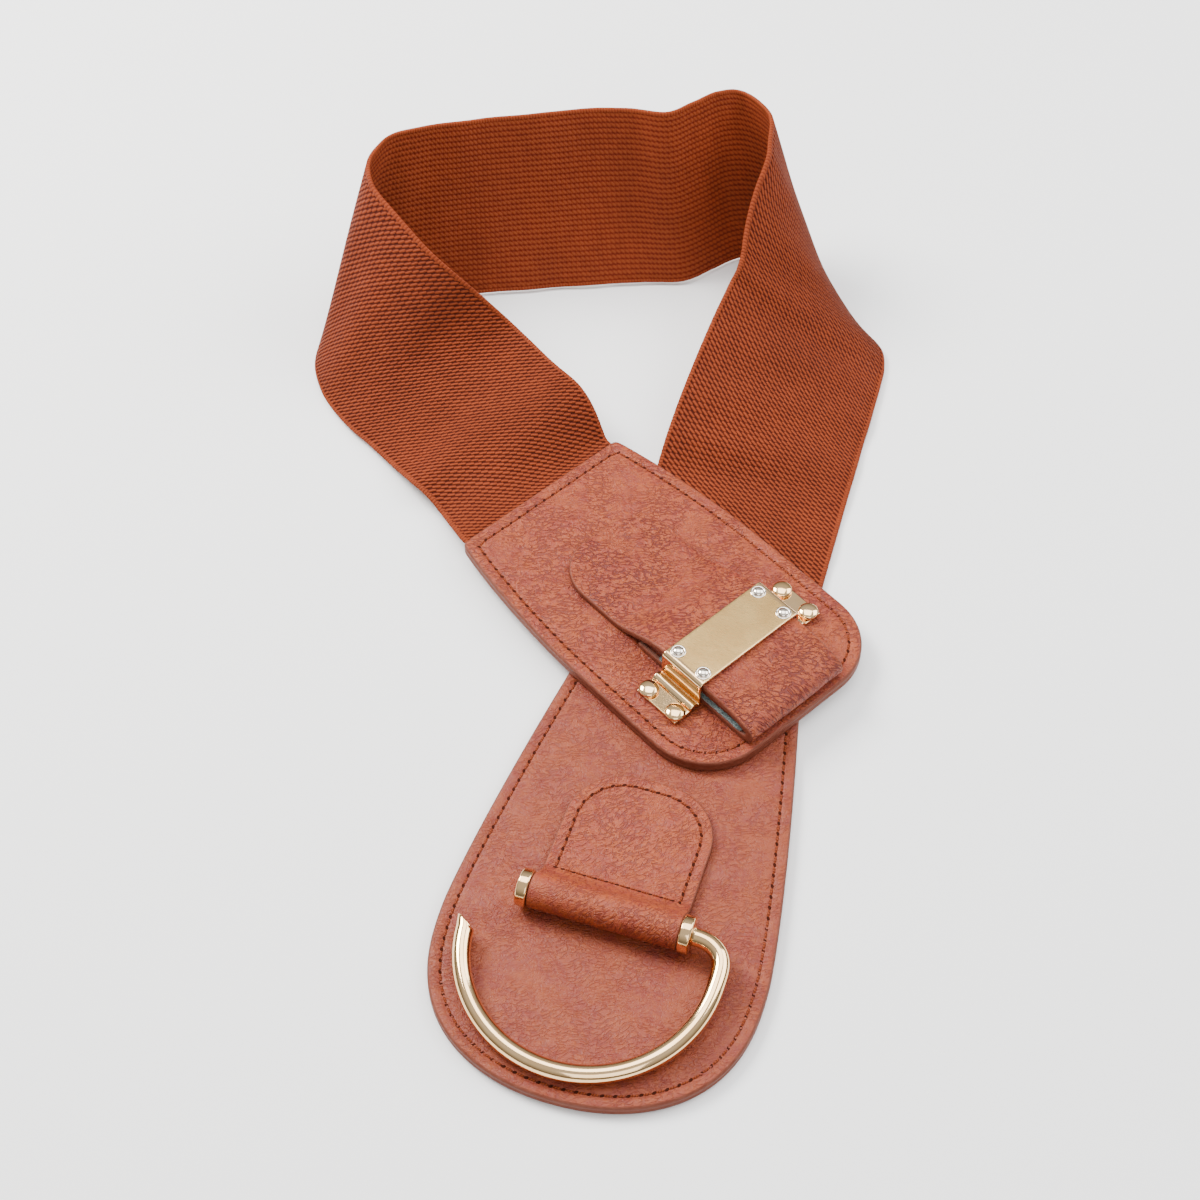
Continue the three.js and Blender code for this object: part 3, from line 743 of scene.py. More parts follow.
@dataclass
class Panel:
    """A leather panel cut to an outline, with round painted edges and a soft relief.

    Finish 0 is the grain side, 1 the edge and 2 the back.
    """

    outline: np.ndarray
    thickness: float
    top_round: float = 0.8
    low_round: float = 0.5
    stitch_inset: float = 0.0
    groove: float = 0.28
    pillow: float = 0.12
    undulation: float = 0.1
    cell: float = 1.3
    layers: bool = True
    seed: float = 0.0

    def relief(self, distance: np.ndarray, flat: np.ndarray) -> np.ndarray:
        """Height of the grain side over its plane.

        Args:
            distance: Distance of each point from the outline.
            flat: The points' flat places.

        Returns:
            Heights in mm.
        """
        x, y = flat[:, 0] + self.seed, flat[:, 1] - self.seed
        broad = (
            np.sin(x * 0.19 + 1.3 * np.sin(y * 0.11)) * np.cos(y * 0.23 + 0.9 * np.sin(x * 0.13))
            + 0.5 * np.sin(x * 0.41 + y * 0.31)
        )
        ease = np.clip((distance - self.top_round) / 3.0, 0, 1)
        height = self.undulation * 0.6 * broad * ease
        if self.stitch_inset:
            gap = distance - self.stitch_inset
            height -= self.groove * np.exp(-((gap / 0.6) ** 2))
            height += self.pillow * (1 - np.exp(-((np.maximum(gap, 0) / 4.0) ** 2)))
            height += 0.5 * self.pillow * np.exp(-(((gap + 1.6) / 0.8) ** 2))
        return height

    def surface_point(self, flat: np.ndarray) -> np.ndarray:
        """Points on the grain side at flat places."""
        distance = edge_distance(flat, self.outline)
        return np.column_stack([flat, self.thickness + self.relief(distance, flat)])

    def fill(self, skin: Skin, ring: np.ndarray, first: int, top: bool, bend: Bend) -> None:
        """Fills one side inside its last ring with a soft triangle net."""
        lines = []
        if top and self.stitch_inset:
            for away in (-1.5, -0.9, -0.45, 0.0, 0.45, 0.9, 1.6, 2.5):
                inset = self.stitch_inset + away
                if inset > self.top_round + 0.8:
                    lines.append(inner_line(self.outline, inset, 1.0))
        margin = self.stitch_inset + 3.3 if top and self.stitch_inset else self.top_round + 1.2
        cell = self.cell if top else self.cell * 1.6
        low, high = ring.min(0), ring.max(0)
        grid = np.stack(np.meshgrid(
            np.arange(low[0], high[0], cell), np.arange(low[1], high[1], cell * 0.87)), -1)
        grid[1::2, :, 0] += cell / 2
        grid = grid.reshape(-1, 2)
        grid = grid[inside(grid, self.outline)]
        grid = grid[edge_distance(grid, self.outline) > margin]
        inner = np.vstack([*lines, grid]) if lines else grid
        everything = np.vstack([ring, inner])
        edges = [(spot, (spot + 1) % len(ring)) for spot in range(len(ring))]
        made = delaunay_2d_cdt(
            [Vector(place) for place in everything], edges, [], 1, 1e-5, True)
        found, _, triangles, origins = made[0], made[1], made[2], made[3]
        flat = np.array([[place.x, place.y] for place in found])
        distance = edge_distance(flat, self.outline)
        if top:
            height = self.thickness + self.relief(distance, flat)
        else:
            height = np.zeros(len(flat))
        fresh = skin.add(bend(np.column_stack([flat, height])), flat)
        number = np.arange(fresh, fresh + len(flat))
        for spot, origin in enumerate(origins):
            owned = [source for source in origin if source < len(ring)]
            if owned:
                number[spot] = first + owned[0]
        for a, b, c in triangles:
            area = np.cross(flat[b] - flat[a], flat[c] - flat[a])
            corners = (a, b, c) if (area > 0) == top else (a, c, b)
            skin.face([number[corner] for corner in corners], 0 if top else 2)

    def build(self, skin: Skin, bend: Bend = flat_bend) -> None:
        """Adds the panel to a skin, its underside at height 0 before the bend."""
        half = self.thickness / 2
        profile: list[tuple[float, float, int]] = []
        for turn in np.linspace(0, 90, 5):
            angle = math.radians(turn)
            profile.append((
                self.low_round * (1 - math.sin(angle)), self.low_round * (1 - math.cos(angle)), 1))
        if self.layers:
            profile += [(0.0, half - 0.3, 1), (0.14, half, 1), (0.0, half + 0.3, 1)]
        for turn in np.linspace(0, 90, 6):
            angle = math.radians(turn)
            finish = 1 if turn < 75 else 0
            profile.append((
                self.top_round * (1 - math.cos(angle)),
                self.thickness - self.top_round * (1 - math.sin(angle)), finish))
        profile.append((self.top_round + 0.55, self.thickness, 0))
        size = len(self.outline)
        firsts = []
        ring = self.outline
        for inset, height, _ in profile:
            ring = inset_ring(self.outline, inset)
            flat = inset_ring(self.outline, inset - (self.thickness - height))
            heights = np.full(size, height)
            if inset > self.top_round:
                heights += self.relief(np.full(size, inset), ring)
            firsts.append(skin.add(bend(np.column_stack([ring, heights])), flat))
        for (low, high), (_, _, finish) in zip(zip(firsts, firsts[1:]), profile[1:]):
            skin.strip(low, high, size, finish)
        self.fill(skin, ring, firsts[-1], True, bend)
        self.fill(skin, inset_ring(self.outline, self.low_round), firsts[0], False, bend)


@dataclass
class Seam:
    """A row of hand stitches on a panel: thread finish 0, painted awl hole shade finish 1."""

    pitch: float = 3.2
    thread: float = 0.3
    slit_length: float = 0.72
    slit_width: float = 0.42
    sink: float = 0.0

    def sew(
        self, skin: Skin, panel: Panel, line: np.ndarray, closed: bool, bend: Bend = flat_bend,
    ) -> None:
        """Sews along a line of flat places.

        Args:
            skin: Where the stitches go.
            panel: The panel that they are sewn on.
            line: Flat places that the row follows.
            closed: Whether the row comes back to its start.
            bend: The panel's bend.
        """
        holes = resampled(line, self.pitch, closed)
        starts = holes if closed else holes[:-1]
        ends = np.roll(holes, -1, 0) if closed else holes[1:]
        rises = ((0.12, -0.4, 0.7), (0.2, -0.02, 0.9), (0.34, 0.12, 1.0), (0.5, 0.17, 1.0),
                 (0.66, 0.12, 1.0), (0.8, -0.02, 0.9), (0.88, -0.4, 0.7))
        sides = 7
        generator = np.random.default_rng(11)
        for start, end in zip(starts, ends):
            run = (end - start) / np.linalg.norm(end - start)
            side = np.array([-run[1], run[0]])
            lean = generator.normal(0, 0.05)
            firsts = []
            for share, rise, girth in rises:
                middle = start + (end - start) * share + side * lean * (share - 0.5)
                base = panel.surface_point(middle[None])[0]
                angles = np.linspace(0, 2 * math.pi, sides, endpoint=False)
                radius = self.thread * girth
                flat = base[:2] + side * (radius * np.cos(angles))[:, None]
                heights = base[2] + rise + self.sink + radius * 0.8 * np.sin(angles)
                uv = np.column_stack([
                    np.full(sides, share * self.pitch), angles / (2 * math.pi)])
                firsts.append(skin.add(bend(np.column_stack([flat, heights])), uv))
            for low, high in zip(firsts, firsts[1:]):
                skin.strip(high, low, sides, 0)
        # Flat dark discs at the holes: painted shade standing in for the shadow inside each awl hole.
        for hole, toward in zip(holes, np.roll(holes, -1, 0)):
            run = (toward - hole) / np.linalg.norm(toward - hole)
            if not closed and hole is holes[-1]:
                run = -run
            turn = math.radians(14)
            run = np.array([
                run[0] * math.cos(turn) - run[1] * math.sin(turn),
                run[0] * math.sin(turn) + run[1] * math.cos(turn)])
            side = np.array([-run[1], run[0]])
            angles = np.linspace(0, 2 * math.pi, 12, endpoint=False)
            rim = (hole + run * (self.slit_length * np.cos(angles))[:, None]
                   + side * (self.slit_width * np.sin(angles))[:, None])
            flats = np.vstack([rim, hole[None]])
            base = panel.surface_point(flats)
            base[:, 2] += self.sink + 0.015
            base[-1, 2] += 0.05
            first = skin.add(bend(base), flats)
            for spot in range(12):
                skin.face((first + spot, first + (spot + 1) % 12, first + 12), 1)


def lathe(
    skin: Skin, profile: Sequence[tuple[float, float]], matrix: np.ndarray, segments: int,
    finish: int = 0,
) -> None:
    """Adds a profile of radius and height turned about its own z axis."""
    angles = np.linspace(0, 2 * math.pi, segments, endpoint=False)
    firsts = []
    for radius, height in profile:
        ring = np.column_stack([
            radius * np.cos(angles), radius * np.sin(angles), np.full(segments, height)])
        firsts.append(skin.add(placed(ring, matrix), ring[:, :2]))
    for low, high in zip(firsts, firsts[1:]):
        skin.strip(low, high, segments, finish)
    skin.face(list(range(firsts[0], firsts[0] + segments))[::-1], finish)
    skin.face(range(firsts[-1], firsts[-1] + segments), finish)


def tube(
    skin: Skin, path: np.ndarray, radii: np.ndarray, segments: int, finish: int = 0,
) -> list[int]:
    """Adds a round tube along a path in space and returns each ring's first point number."""
    runs = np.gradient(path, axis=0)
    runs /= np.linalg.norm(runs, axis=1, keepdims=True)
    up = np.array([0.0, 0.0, 1.0])
    reach = np.concatenate([[0], np.cumsum(np.linalg.norm(np.diff(path, axis=0), axis=1))])
    angles = np.linspace(0, 2 * math.pi, segments, endpoint=False)
    firsts = []
    for point, run, radius, far in zip(path, runs, radii, reach):
        side = np.cross(up, run)
        side /= np.linalg.norm(side)
        over = np.cross(run, side)
        ring = (point + radius * np.cos(angles)[:, None] * side
                + radius * np.sin(angles)[:, None] * over)
        flat = np.column_stack([np.full(segments, far), radius * angles])
        firsts.append(skin.add(ring, flat))
    for low, high in zip(firsts, firsts[1:]):
        skin.strip(low, high, segments, finish)
    return firsts


# The belt's sub-assemblies


@dataclass
class ElasticWeb:
    """The woven elastic web round the waist loop."""

    width: float = 57.0
    thickness: float = 1.4
    loop_width: float = 176.0
    loop_depth: float = 150.0
    insert: float = 12.0
    bow: float = 0.6
    paddle_middle: float = 1.7
    plate_middle: float = 5.5
    crest_from_joint: float = 26.0
    crest_height: float = 1.8
    crest_spread: float = 9.0
    pitch: float = 1.1
    rows: tuple = (
        (-0.278, 0.220, 13, 38, 0.03), (-0.318, 0.273, 14, 37, 0.03),
        (-0.392, 0.380, 20, 36, 0.01), (-0.432, 0.433, 28, 33, 0),
        (-0.466, 0.487, 38, 30, 0), (-0.489, 0.543, 47, 30, 0),
        (-0.500, 0.600, 54, 36, 0), (-0.500, 0.653, 59, 48, 0),
        (-0.477, 0.713, 61, 59, 0), (-0.432, 0.760, 62, 68, 0),
        (-0.341, 0.793, 66, 80, 0), (-0.227, 0.820, 68, 92, 0),
        (-0.114, 0.833, 66, 98, 0), (0.000, 0.847, 64, 100, 0),
        (0.074, 0.853, 65, 102, 0), (0.148, 0.857, 70, 105, 0),
        (0.205, 0.893, 70, 111, 0), (0.261, 0.930, 69, 117, 0),
        (0.324, 0.920, 64, 120, 0), (0.381, 0.867, 63, 126, 0),
        (0.426, 0.787, 58, 140, 0), (0.466, 0.713, 47, 155, 0),
        (0.500, 0.640, 35, 163, 0), (0.501, 0.593, 31, 162, 0),
        (0.491, 0.547, 27, 159, 0), (0.463, 0.433, 20, 160, 0),
        (0.423, 0.273, 9, 163, 0), (0.409, 0.217, 3, 164, 0),
        (0.392, 0.147, 1, 164, 0), (0.361, 0.020, 0, 164, 0),
    )

    def seated(self) -> np.ndarray:
        """Rows of foot x, foot y, lean, heading and height, with both ends in their pockets."""

        def seat(origin: tuple, side: int, along: float, middle: float) -> list[float]:
            """One row in a plate's pocket."""
            angle = math.radians(origin[2])
            across = side * self.width / 2
            return [
                origin[0] + along * math.cos(angle) - across * math.sin(angle),
                origin[1] + along * math.sin(angle) + across * math.cos(angle),
                0.0, (origin[2] - side * 90 + 360) % 360, middle - self.thickness / 2,
            ]

        plate = (LAYOUT.plate_x, LAYOUT.plate_y, LAYOUT.plate_heading)
        paddle = (LAYOUT.paddle_x, LAYOUT.paddle_y, LAYOUT.paddle_heading)
        step = self.insert
        starts = [seat(plate, -1, along, self.plate_middle) for along in (step, step / 2, 0, -step / 6)]
        free = [[x * self.loop_width, y * self.loop_depth, lean, heading, lift * self.width]
                for x, y, lean, heading, lift in self.rows]
        ends = [seat(paddle, 1, along, self.paddle_middle)
                for along in (-step, -step / 4, 0, step / 2, step)]
        return np.array(starts + free + ends)

    @staticmethod
    def through(points: np.ndarray, place: float) -> np.ndarray:
        """A centripetal curve through plan points, at a place counted in points."""
        last = len(points) - 1
        index = min(int(place), last - 1)
        part = place - index

        def at(spot: int) -> np.ndarray:
            """A point, or one mirrored past an end."""
            if spot < 0:
                return 2 * points[0] - points[1]
            return points[spot] if spot <= last else 2 * points[-1] - points[-2]

        p0, p1, p2, p3 = (at(index + offset) for offset in (-1, 0, 1, 2))
        d0, d1, d2 = (max(((b - a) ** 2).sum(), 1e-12) ** 0.25
                      for a, b in ((p0, p1), (p1, p2), (p2, p3)))
        leave = ((p1 - p0) / d0 - (p2 - p0) / (d0 + d1) + (p2 - p1) / d1) * d1
        arrive = ((p2 - p1) / d1 - (p3 - p1) / (d1 + d2) + (p3 - p2) / d2) * d1
        square = -3 * p1 + 3 * p2 - 2 * leave - arrive
        cube = 2 * p1 - 2 * p2 + leave + arrive
        return p1 + leave * part + square * part ** 2 + cube * part ** 3

    @staticmethod
    def monotone(values: np.ndarray, place: float) -> float:
        """A smooth value without overshoot, at a place counted in rows."""
        last = len(values) - 1
        index = min(int(place), last - 1)
        part = place - index

        def slope(at: int) -> float:
            """Slope at a row."""
            if at in (0, last):
                return 0.0
            before, after = values[at] - values[at - 1], values[at + 1] - values[at]
            return 0.0 if before * after <= 0 else 2 * before * after / (before + after)

        square, cube = part ** 2, part ** 3
        return ((2 * cube - 3 * square + 1) * values[index]
                + (cube - 2 * square + part) * slope(index)
                + (3 * square - 2 * cube) * values[index + 1]
                + (cube - square) * slope(index + 1))

    def stations(self) -> tuple[np.ndarray, np.ndarray, np.ndarray]:
        """Foot points, width directions and reach along the middle, evenly spaced."""
        rows = self.seated()
        last = len(rows) - 1
        feet, wides = [], []
        for place in np.linspace(0, last, last * 24 + 1):
            x, y = self.through(rows[:, :2], place)
            lean = math.radians(self.monotone(rows[:, 2], place))
            heading = math.radians(self.monotone(rows[:, 3], place))
            height = self.monotone(rows[:, 4], place) + self.thickness / 2 * abs(math.cos(lean))
            feet.append((x, y, height))
            wides.append((math.cos(lean) * math.cos(heading),
                          math.cos(lean) * math.sin(heading), math.sin(lean)))
        feet, wides = np.array(feet), np.array(wides)
        middle = feet + wides * self.width / 2
        reach = np.concatenate([[0], np.cumsum(np.linalg.norm(np.diff(middle, axis=0), axis=1))])
        count = int(reach[-1] / self.pitch)
        even = np.linspace(0, reach[-1], count + 1)
        feet = np.stack([np.interp(even, reach, feet[:, axis]) for axis in range(3)], 1)
        wides = np.stack([np.interp(even, reach, wides[:, axis]) for axis in range(3)], 1)
        wides /= np.linalg.norm(wides, axis=1, keepdims=True)
        return feet, wides, even

    def section(self) -> tuple[np.ndarray, np.ndarray]:
        """Places across the web and its half thickness there, beads at both selvages."""
        half = self.thickness / 2
        near = np.array([0.0, 0.06, 0.2, 0.4, 0.7, 1.0, 1.25, 1.5, 1.8, 2.3])
        bead = np.where(near < half, np.sqrt(np.maximum(half ** 2 - (half - near) ** 2, 0)), half)
        bead[(near > 1.3) & (near < 2.0)] = half * 0.78
        field_places = np.arange(3.6, self.width / 2, 1.3)
        left = np.concatenate([near, field_places])
        thick = np.concatenate([bead, np.full(len(field_places), half * 0.96)])
        return (np.concatenate([left, [self.width / 2], self.width - left[::-1]]),
                np.concatenate([thick, [half * 0.96], thick[::-1]]))

    def build(self, wardrobe: Wardrobe) -> bpy.types.Object:
        feet, wides, reach = self.stations()
        across, thick = self.section()
        along = np.gradient(feet + wides * self.width / 2, axis=0)
        along /= np.linalg.norm(along, axis=1, keepdims=True)
        normals = np.cross(wides, along)
        normals /= np.linalg.norm(normals, axis=1, keepdims=True)
        share = across / self.width
        crown = self.bow * wides[:, 2:3] * np.sin(math.pi * share)[None]
        from_joint = reach - self.insert
        crest = self.crest_height * np.exp(
            -((from_joint - self.crest_from_joint) / self.crest_spread) ** 2)
        free = np.clip(from_joint / 10, 0, 1) * np.clip((reach[-1] - self.insert - reach) / 10, 0, 1)
        ripple = 0.22 * np.sin(reach[:, None] * 0.21 + across[None] * 0.05)
        ripple += 0.15 * np.sin(reach[:, None] * 0.37 - across[None] * 0.11 + 1.0)
        lift = crown + crest[:, None] + ripple * free[:, None]
        middle = feet[:, None, :] + wides[:, None, :] * across[None, :, None]
        middle = middle + normals[:, None, :] * lift[..., None]
        outer = middle + normals[:, None, :] * thick[None, :, None]
        inner = middle - normals[:, None, :] * thick[None, :, None]
        lowest = outer[..., 2].min(), inner[..., 2].min()
        rise = max(0.0, 0.02 - min(lowest))
        skin = Skin()
        count, wide = len(reach), len(across)
        flat = np.stack(np.meshgrid(reach, across, indexing="ij"), -1).reshape(-1, 2)
        lifted = np.array([0, 0, rise])
        top = skin.add((outer + lifted).reshape(-1, 3), flat)
        low = skin.add((inner + lifted).reshape(-1, 3), flat)
        for row in range(count - 1):
            for spot in range(wide - 1):
                a, b = row * wide + spot, row * wide + spot + 1
                c, d = b + wide, a + wide
                skin.face((top + a, top + b, top + c, top + d), 0)
                skin.face((low + a, low + d, low + c, low + b), 1)
        piece = skin.object("elastic_web", [wardrobe.web_outer, wardrobe.web_inner], LAYOUT.belt)
        settle(piece, Body.BELT, ["elastic_band"])
        return piece


@dataclass
class PaddlePlate:
    """The tongue shaped lower end plate."""

    length: float = 139.0
    width: float = 86.4
    joint_width: float = 59.4
    tip_length: float = 45.0
    thickness: float = 3.4
    tip_fullness: float = 2.7
    tip_squareness: float = 2.1
    flank_curve: float = 1.3
    stitch_inset: float = 3.3

    def half_width(self, from_tip: float) -> float:
        """Half width at a distance from the tip."""
        half = self.width / 2
        if from_tip < self.tip_length:
            share = 1 - from_tip / self.tip_length
            return half * (1 - share ** self.tip_fullness) ** (1 / self.tip_squareness)
        share = (from_tip - self.tip_length) / (self.length - self.tip_length)
        return half - (half - self.joint_width / 2) * share ** self.flank_curve

    def outline(self) -> np.ndarray:
        """The plan outline, counter clockwise, with eased joint corners."""
        from_tip = self.length * np.linspace(1, 0, 90) ** 2
        lower = np.array([[self.length - far, -self.half_width(far)] for far in from_tip])
        upper = lower[::-1] * [1, -1]
        line = resampled(np.vstack([lower, upper[1:]]), 0.9, closed=True)
        return softened(line, 4)

    def build(self, wardrobe: Wardrobe) -> list[bpy.types.Object]:
        """Builds and dresses the plate and its stitches."""
        panel = Panel(self.outline(), self.thickness, stitch_inset=self.stitch_inset, seed=3.0)
        skin = Skin()
        panel.build(skin)
        plate = skin.object("paddle_leather", [wardrobe.paddle, wardrobe.edge, wardrobe.back],
                            LAYOUT.paddle)
        settle(plate, Body.BELT, ["paddle_plate"])
        threads = Skin()
        line = inner_line(panel.outline, self.stitch_inset, 0.5)
        Seam().sew(threads, panel, line, True)
        seam = threads.object("paddle_stitches", [wardrobe.thread, wardrobe.hole], LAYOUT.paddle)
        settle(seam, Body.BELT)
        return [plate, seam]


@dataclass
class LoopPlate:
    """The rectangular upper end plate that carries the strap and the bridge."""

    length: float = 107.0
    width: float = 71.4
    joint_width: float = 59.4
    flare_length: float = 58.0
    corner: float = 19.0
    thickness: float = 3.6
    flare_leave: float = 0.2
    flare_arrive: float = 0.6
    flare_spread: float = 0.45
    stitch_inset: float = 3.6

    def outline(self) -> np.ndarray:
        """The plan outline, counter clockwise, with eased joint corners."""
        half, joint = self.width / 2, self.joint_width / 2
        spread = joint + (half - joint) * self.flare_spread
        knots = np.array([[0, -joint], [self.flare_length * self.flare_leave, -spread],
                          [self.flare_length * self.flare_arrive, -half], [self.flare_length, -half]])
        share = np.linspace(0, 1, 40)[:, None]
        flare = ((1 - share) ** 3 * knots[0] + 3 * (1 - share) ** 2 * share * knots[1]
                 + 3 * (1 - share) * share ** 2 * knots[2] + share ** 3 * knots[3])
        end = self.length - self.corner
        lower = np.vstack([flare, arc((end, -half + self.corner), self.corner, -90, 0, 30)])
        upper = lower[::-1] * [1, -1]
        return softened(resampled(np.vstack([lower, upper]), 0.9, closed=True), 4)

    def build(self, wardrobe: Wardrobe) -> list[bpy.types.Object]:
        """Builds and dresses the plate and its stitches."""
        place = LAYOUT.plate @ shift(0, 0, LAYOUT.plate_bottom)
        panel = Panel(self.outline(), self.thickness, stitch_inset=self.stitch_inset, seed=17.0)
        skin = Skin()
        panel.build(skin)
        plate = skin.object("loop_leather", [wardrobe.plate, wardrobe.edge, wardrobe.back], place)
        settle(plate, Body.BELT, ["loop_plate"])
        threads = Skin()
        line = inner_line(panel.outline, self.stitch_inset, 0.5)
        Seam().sew(threads, panel, line, True)
        seam = threads.object("loop_stitches", [wardrobe.thread, wardrobe.hole], place)
        settle(seam, Body.BELT)
        return [plate, seam]


@dataclass
class FoldedStrap:
    """The strap that runs under the bridge and folds back on itself, with its felt."""

    width: float = 35.0
    thickness: float = 2.0
    tongue_start: float = 24.2
    tongue_flat: float = 25.5
    tongue_round: float = 13.5
    plate_length: float = 107.0
    nose_setback: float = 0.9
    nose_drop: float = 1.8
    nose_swell: float = 0.8
    lower_length: float = 42.0
    base: float = 7.6
    bridge_top: float = 17.2
    bridge_sheet: float = 1.0
    bridge_middle: float = 79.6
    bridge_width: float = 15.0
    gap: float = 0.3
    felt_length: float = 32.0
    felt_end: float = 5.6
    felt_inset: float = 0.3
    felt_thickness: float = 0.8

    def line(self) -> np.ndarray:
        """The folded middle line in side view, evenly spaced and eased."""
        low = self.base + self.thickness / 2
        high = self.bridge_top - self.bridge_sheet - self.gap - self.thickness / 2
        nose = (high - self.nose_drop - low) / 2
        nose_x = self.plate_length - self.nose_setback - nose - self.thickness / 2
        rise_start = self.tongue_start + self.tongue_flat
        rise_end = self.bridge_middle - self.bridge_width / 2 - 1
        flat_end = self.bridge_middle + self.bridge_width / 2 + 1
        share = np.linspace(0, 1, 40)
        rise = np.stack([rise_start + (rise_end - rise_start) * share,
                         low + (high - low) * share ** 2 * (3 - 2 * share)], 1)
        drop = np.stack([flat_end + (nose_x - flat_end) * share,
                         high - self.nose_drop * share ** 2], 1)
        path = np.vstack([
            [[self.tongue_start, low]], rise, drop[:-1], arc((nose_x, low + nose), nose, 90, -90, 24),
            [[nose_x - self.lower_length, low]],
        ])
        path = resampled(path, 0.4)
        for _ in range(4):
            path[1:-1] = 0.5 * path[1:-1] + 0.25 * (path[:-2] + path[2:])
        return path

    def bend(self) -> tuple[Bend, float]:
        """The map from the flat strap to its folded shape, and the strap's length."""
        path = self.line()
        runs = np.gradient(path, axis=0)
        runs /= np.linalg.norm(runs, axis=1, keepdims=True)
        reach = np.concatenate([[0], np.cumsum(np.linalg.norm(np.diff(path, axis=0), axis=1))])
        nose = reach[path[:, 0].argmax()]

        def apply(points: np.ndarray) -> np.ndarray:
            """Carries flat points to the fold."""
            x = np.interp(points[:, 0], reach, path[:, 0])
            z = np.interp(points[:, 0], reach, path[:, 1])
            run_x = np.interp(points[:, 0], reach, runs[:, 0])
            run_z = np.interp(points[:, 0], reach, runs[:, 1])
            norm = np.hypot(run_x, run_z)
            over = points[:, 2] - self.thickness / 2
            bunched = 1 + self.nose_swell * np.exp(-(((points[:, 0] - nose) / 3.6) ** 2))
            over = np.where(over < 0, over * bunched, over)
            past = np.minimum(points[:, 0], 0) + np.maximum(points[:, 0] - reach[-1], 0)
            return np.column_stack([
                x - run_z / norm * over + run_x / norm * past, points[:, 1],
                z + run_x / norm * over + run_z / norm * past])

        return apply, float(reach[-1])

    def build(self, wardrobe: Wardrobe) -> list[bpy.types.Object]:
        """Builds and dresses the strap and its felt."""
        bend, length = self.bend()
        half, round_off = self.width / 2, self.tongue_round
        outline = np.vstack([
            [[length, -half], [length, half]],
            arc((round_off, half - round_off), round_off, 90, 180, 24),
            arc((round_off, round_off - half), round_off, 180, 270, 24),
        ])
        outline = softened(resampled(outline, 0.8, closed=True), 2)
        panel = Panel(outline, self.thickness, top_round=0.6, low_round=0.45, cell=1.0,
                      undulation=0.12, layers=False, seed=41.0)
        skin = Skin()
        panel.build(skin, bend)
        strap = skin.object("folded_strap", [wardrobe.strap, wardrobe.edge, wardrobe.back],
                            LAYOUT.plate)
        settle(strap, Body.BELT, ["keeper_strap"])
        return [strap, self.felt(wardrobe)]

    def felt(self, wardrobe: Wardrobe) -> bpy.types.Object:
        """Builds and dresses the felt inside the fold, with loose fibres."""
        low = self.base + self.thickness + self.gap * 0.4
        end = self.plate_length - self.felt_end
        half = self.width / 2 - self.felt_inset
        outline = resampled(np.array([
            [end - self.felt_length, -half], [end, -half], [end, half],
            [end - self.felt_length, half]]), 0.8, closed=True)
        generator = np.random.default_rng(5)
        outline = outline + generator.normal(0, 0.16, outline.shape)
        panel = Panel(softened(outline, 1), self.felt_thickness + self.gap * 0.5, top_round=0.3,
                      low_round=0.2, cell=0.9, undulation=0.3, layers=False, seed=9.0)
        skin = Skin()
        panel.build(skin)
        count = 2600
        foot = np.column_stack([
            generator.uniform(end - self.felt_length, end, count),
            np.sign(generator.uniform(-1, 1, count)) * (half - generator.gamma(1.0, 2.6, count)),
            np.full(count, panel.thickness * 0.8)])
        foot[:, 1] = np.clip(foot[:, 1], -half, half)
        swing = generator.uniform(0, 2 * math.pi, count)
        reach = generator.uniform(0.5, 1.5, count)
        rise = generator.uniform(0.15, 0.75, count)
        for start, angle, far, up in zip(foot, swing, reach, rise):
            run = np.array([math.cos(angle), math.sin(angle), 0])
            side = np.array([-run[1], run[0], 0]) * 0.035
            bow = start + run * far * 0.5 + [0, 0, up]
            tip = start + run * far + [0, 0, up * 0.6]
            points = np.array([start - side, start + side, bow + side, bow - side, tip])
            points[:, 1] = np.clip(points[:, 1], -self.width / 2, self.width / 2)
            first = skin.add(points, points[:, :2])
            skin.face((first, first + 1, first + 2, first + 3), 0)
            skin.face((first + 3, first + 2, first + 4), 0)
        piece = skin.object("fold_felt", [wardrobe.felt] * 3, LAYOUT.plate @ shift(0, 0, low))
        settle(piece, Body.BELT, ["loop_lining"])
        return piece


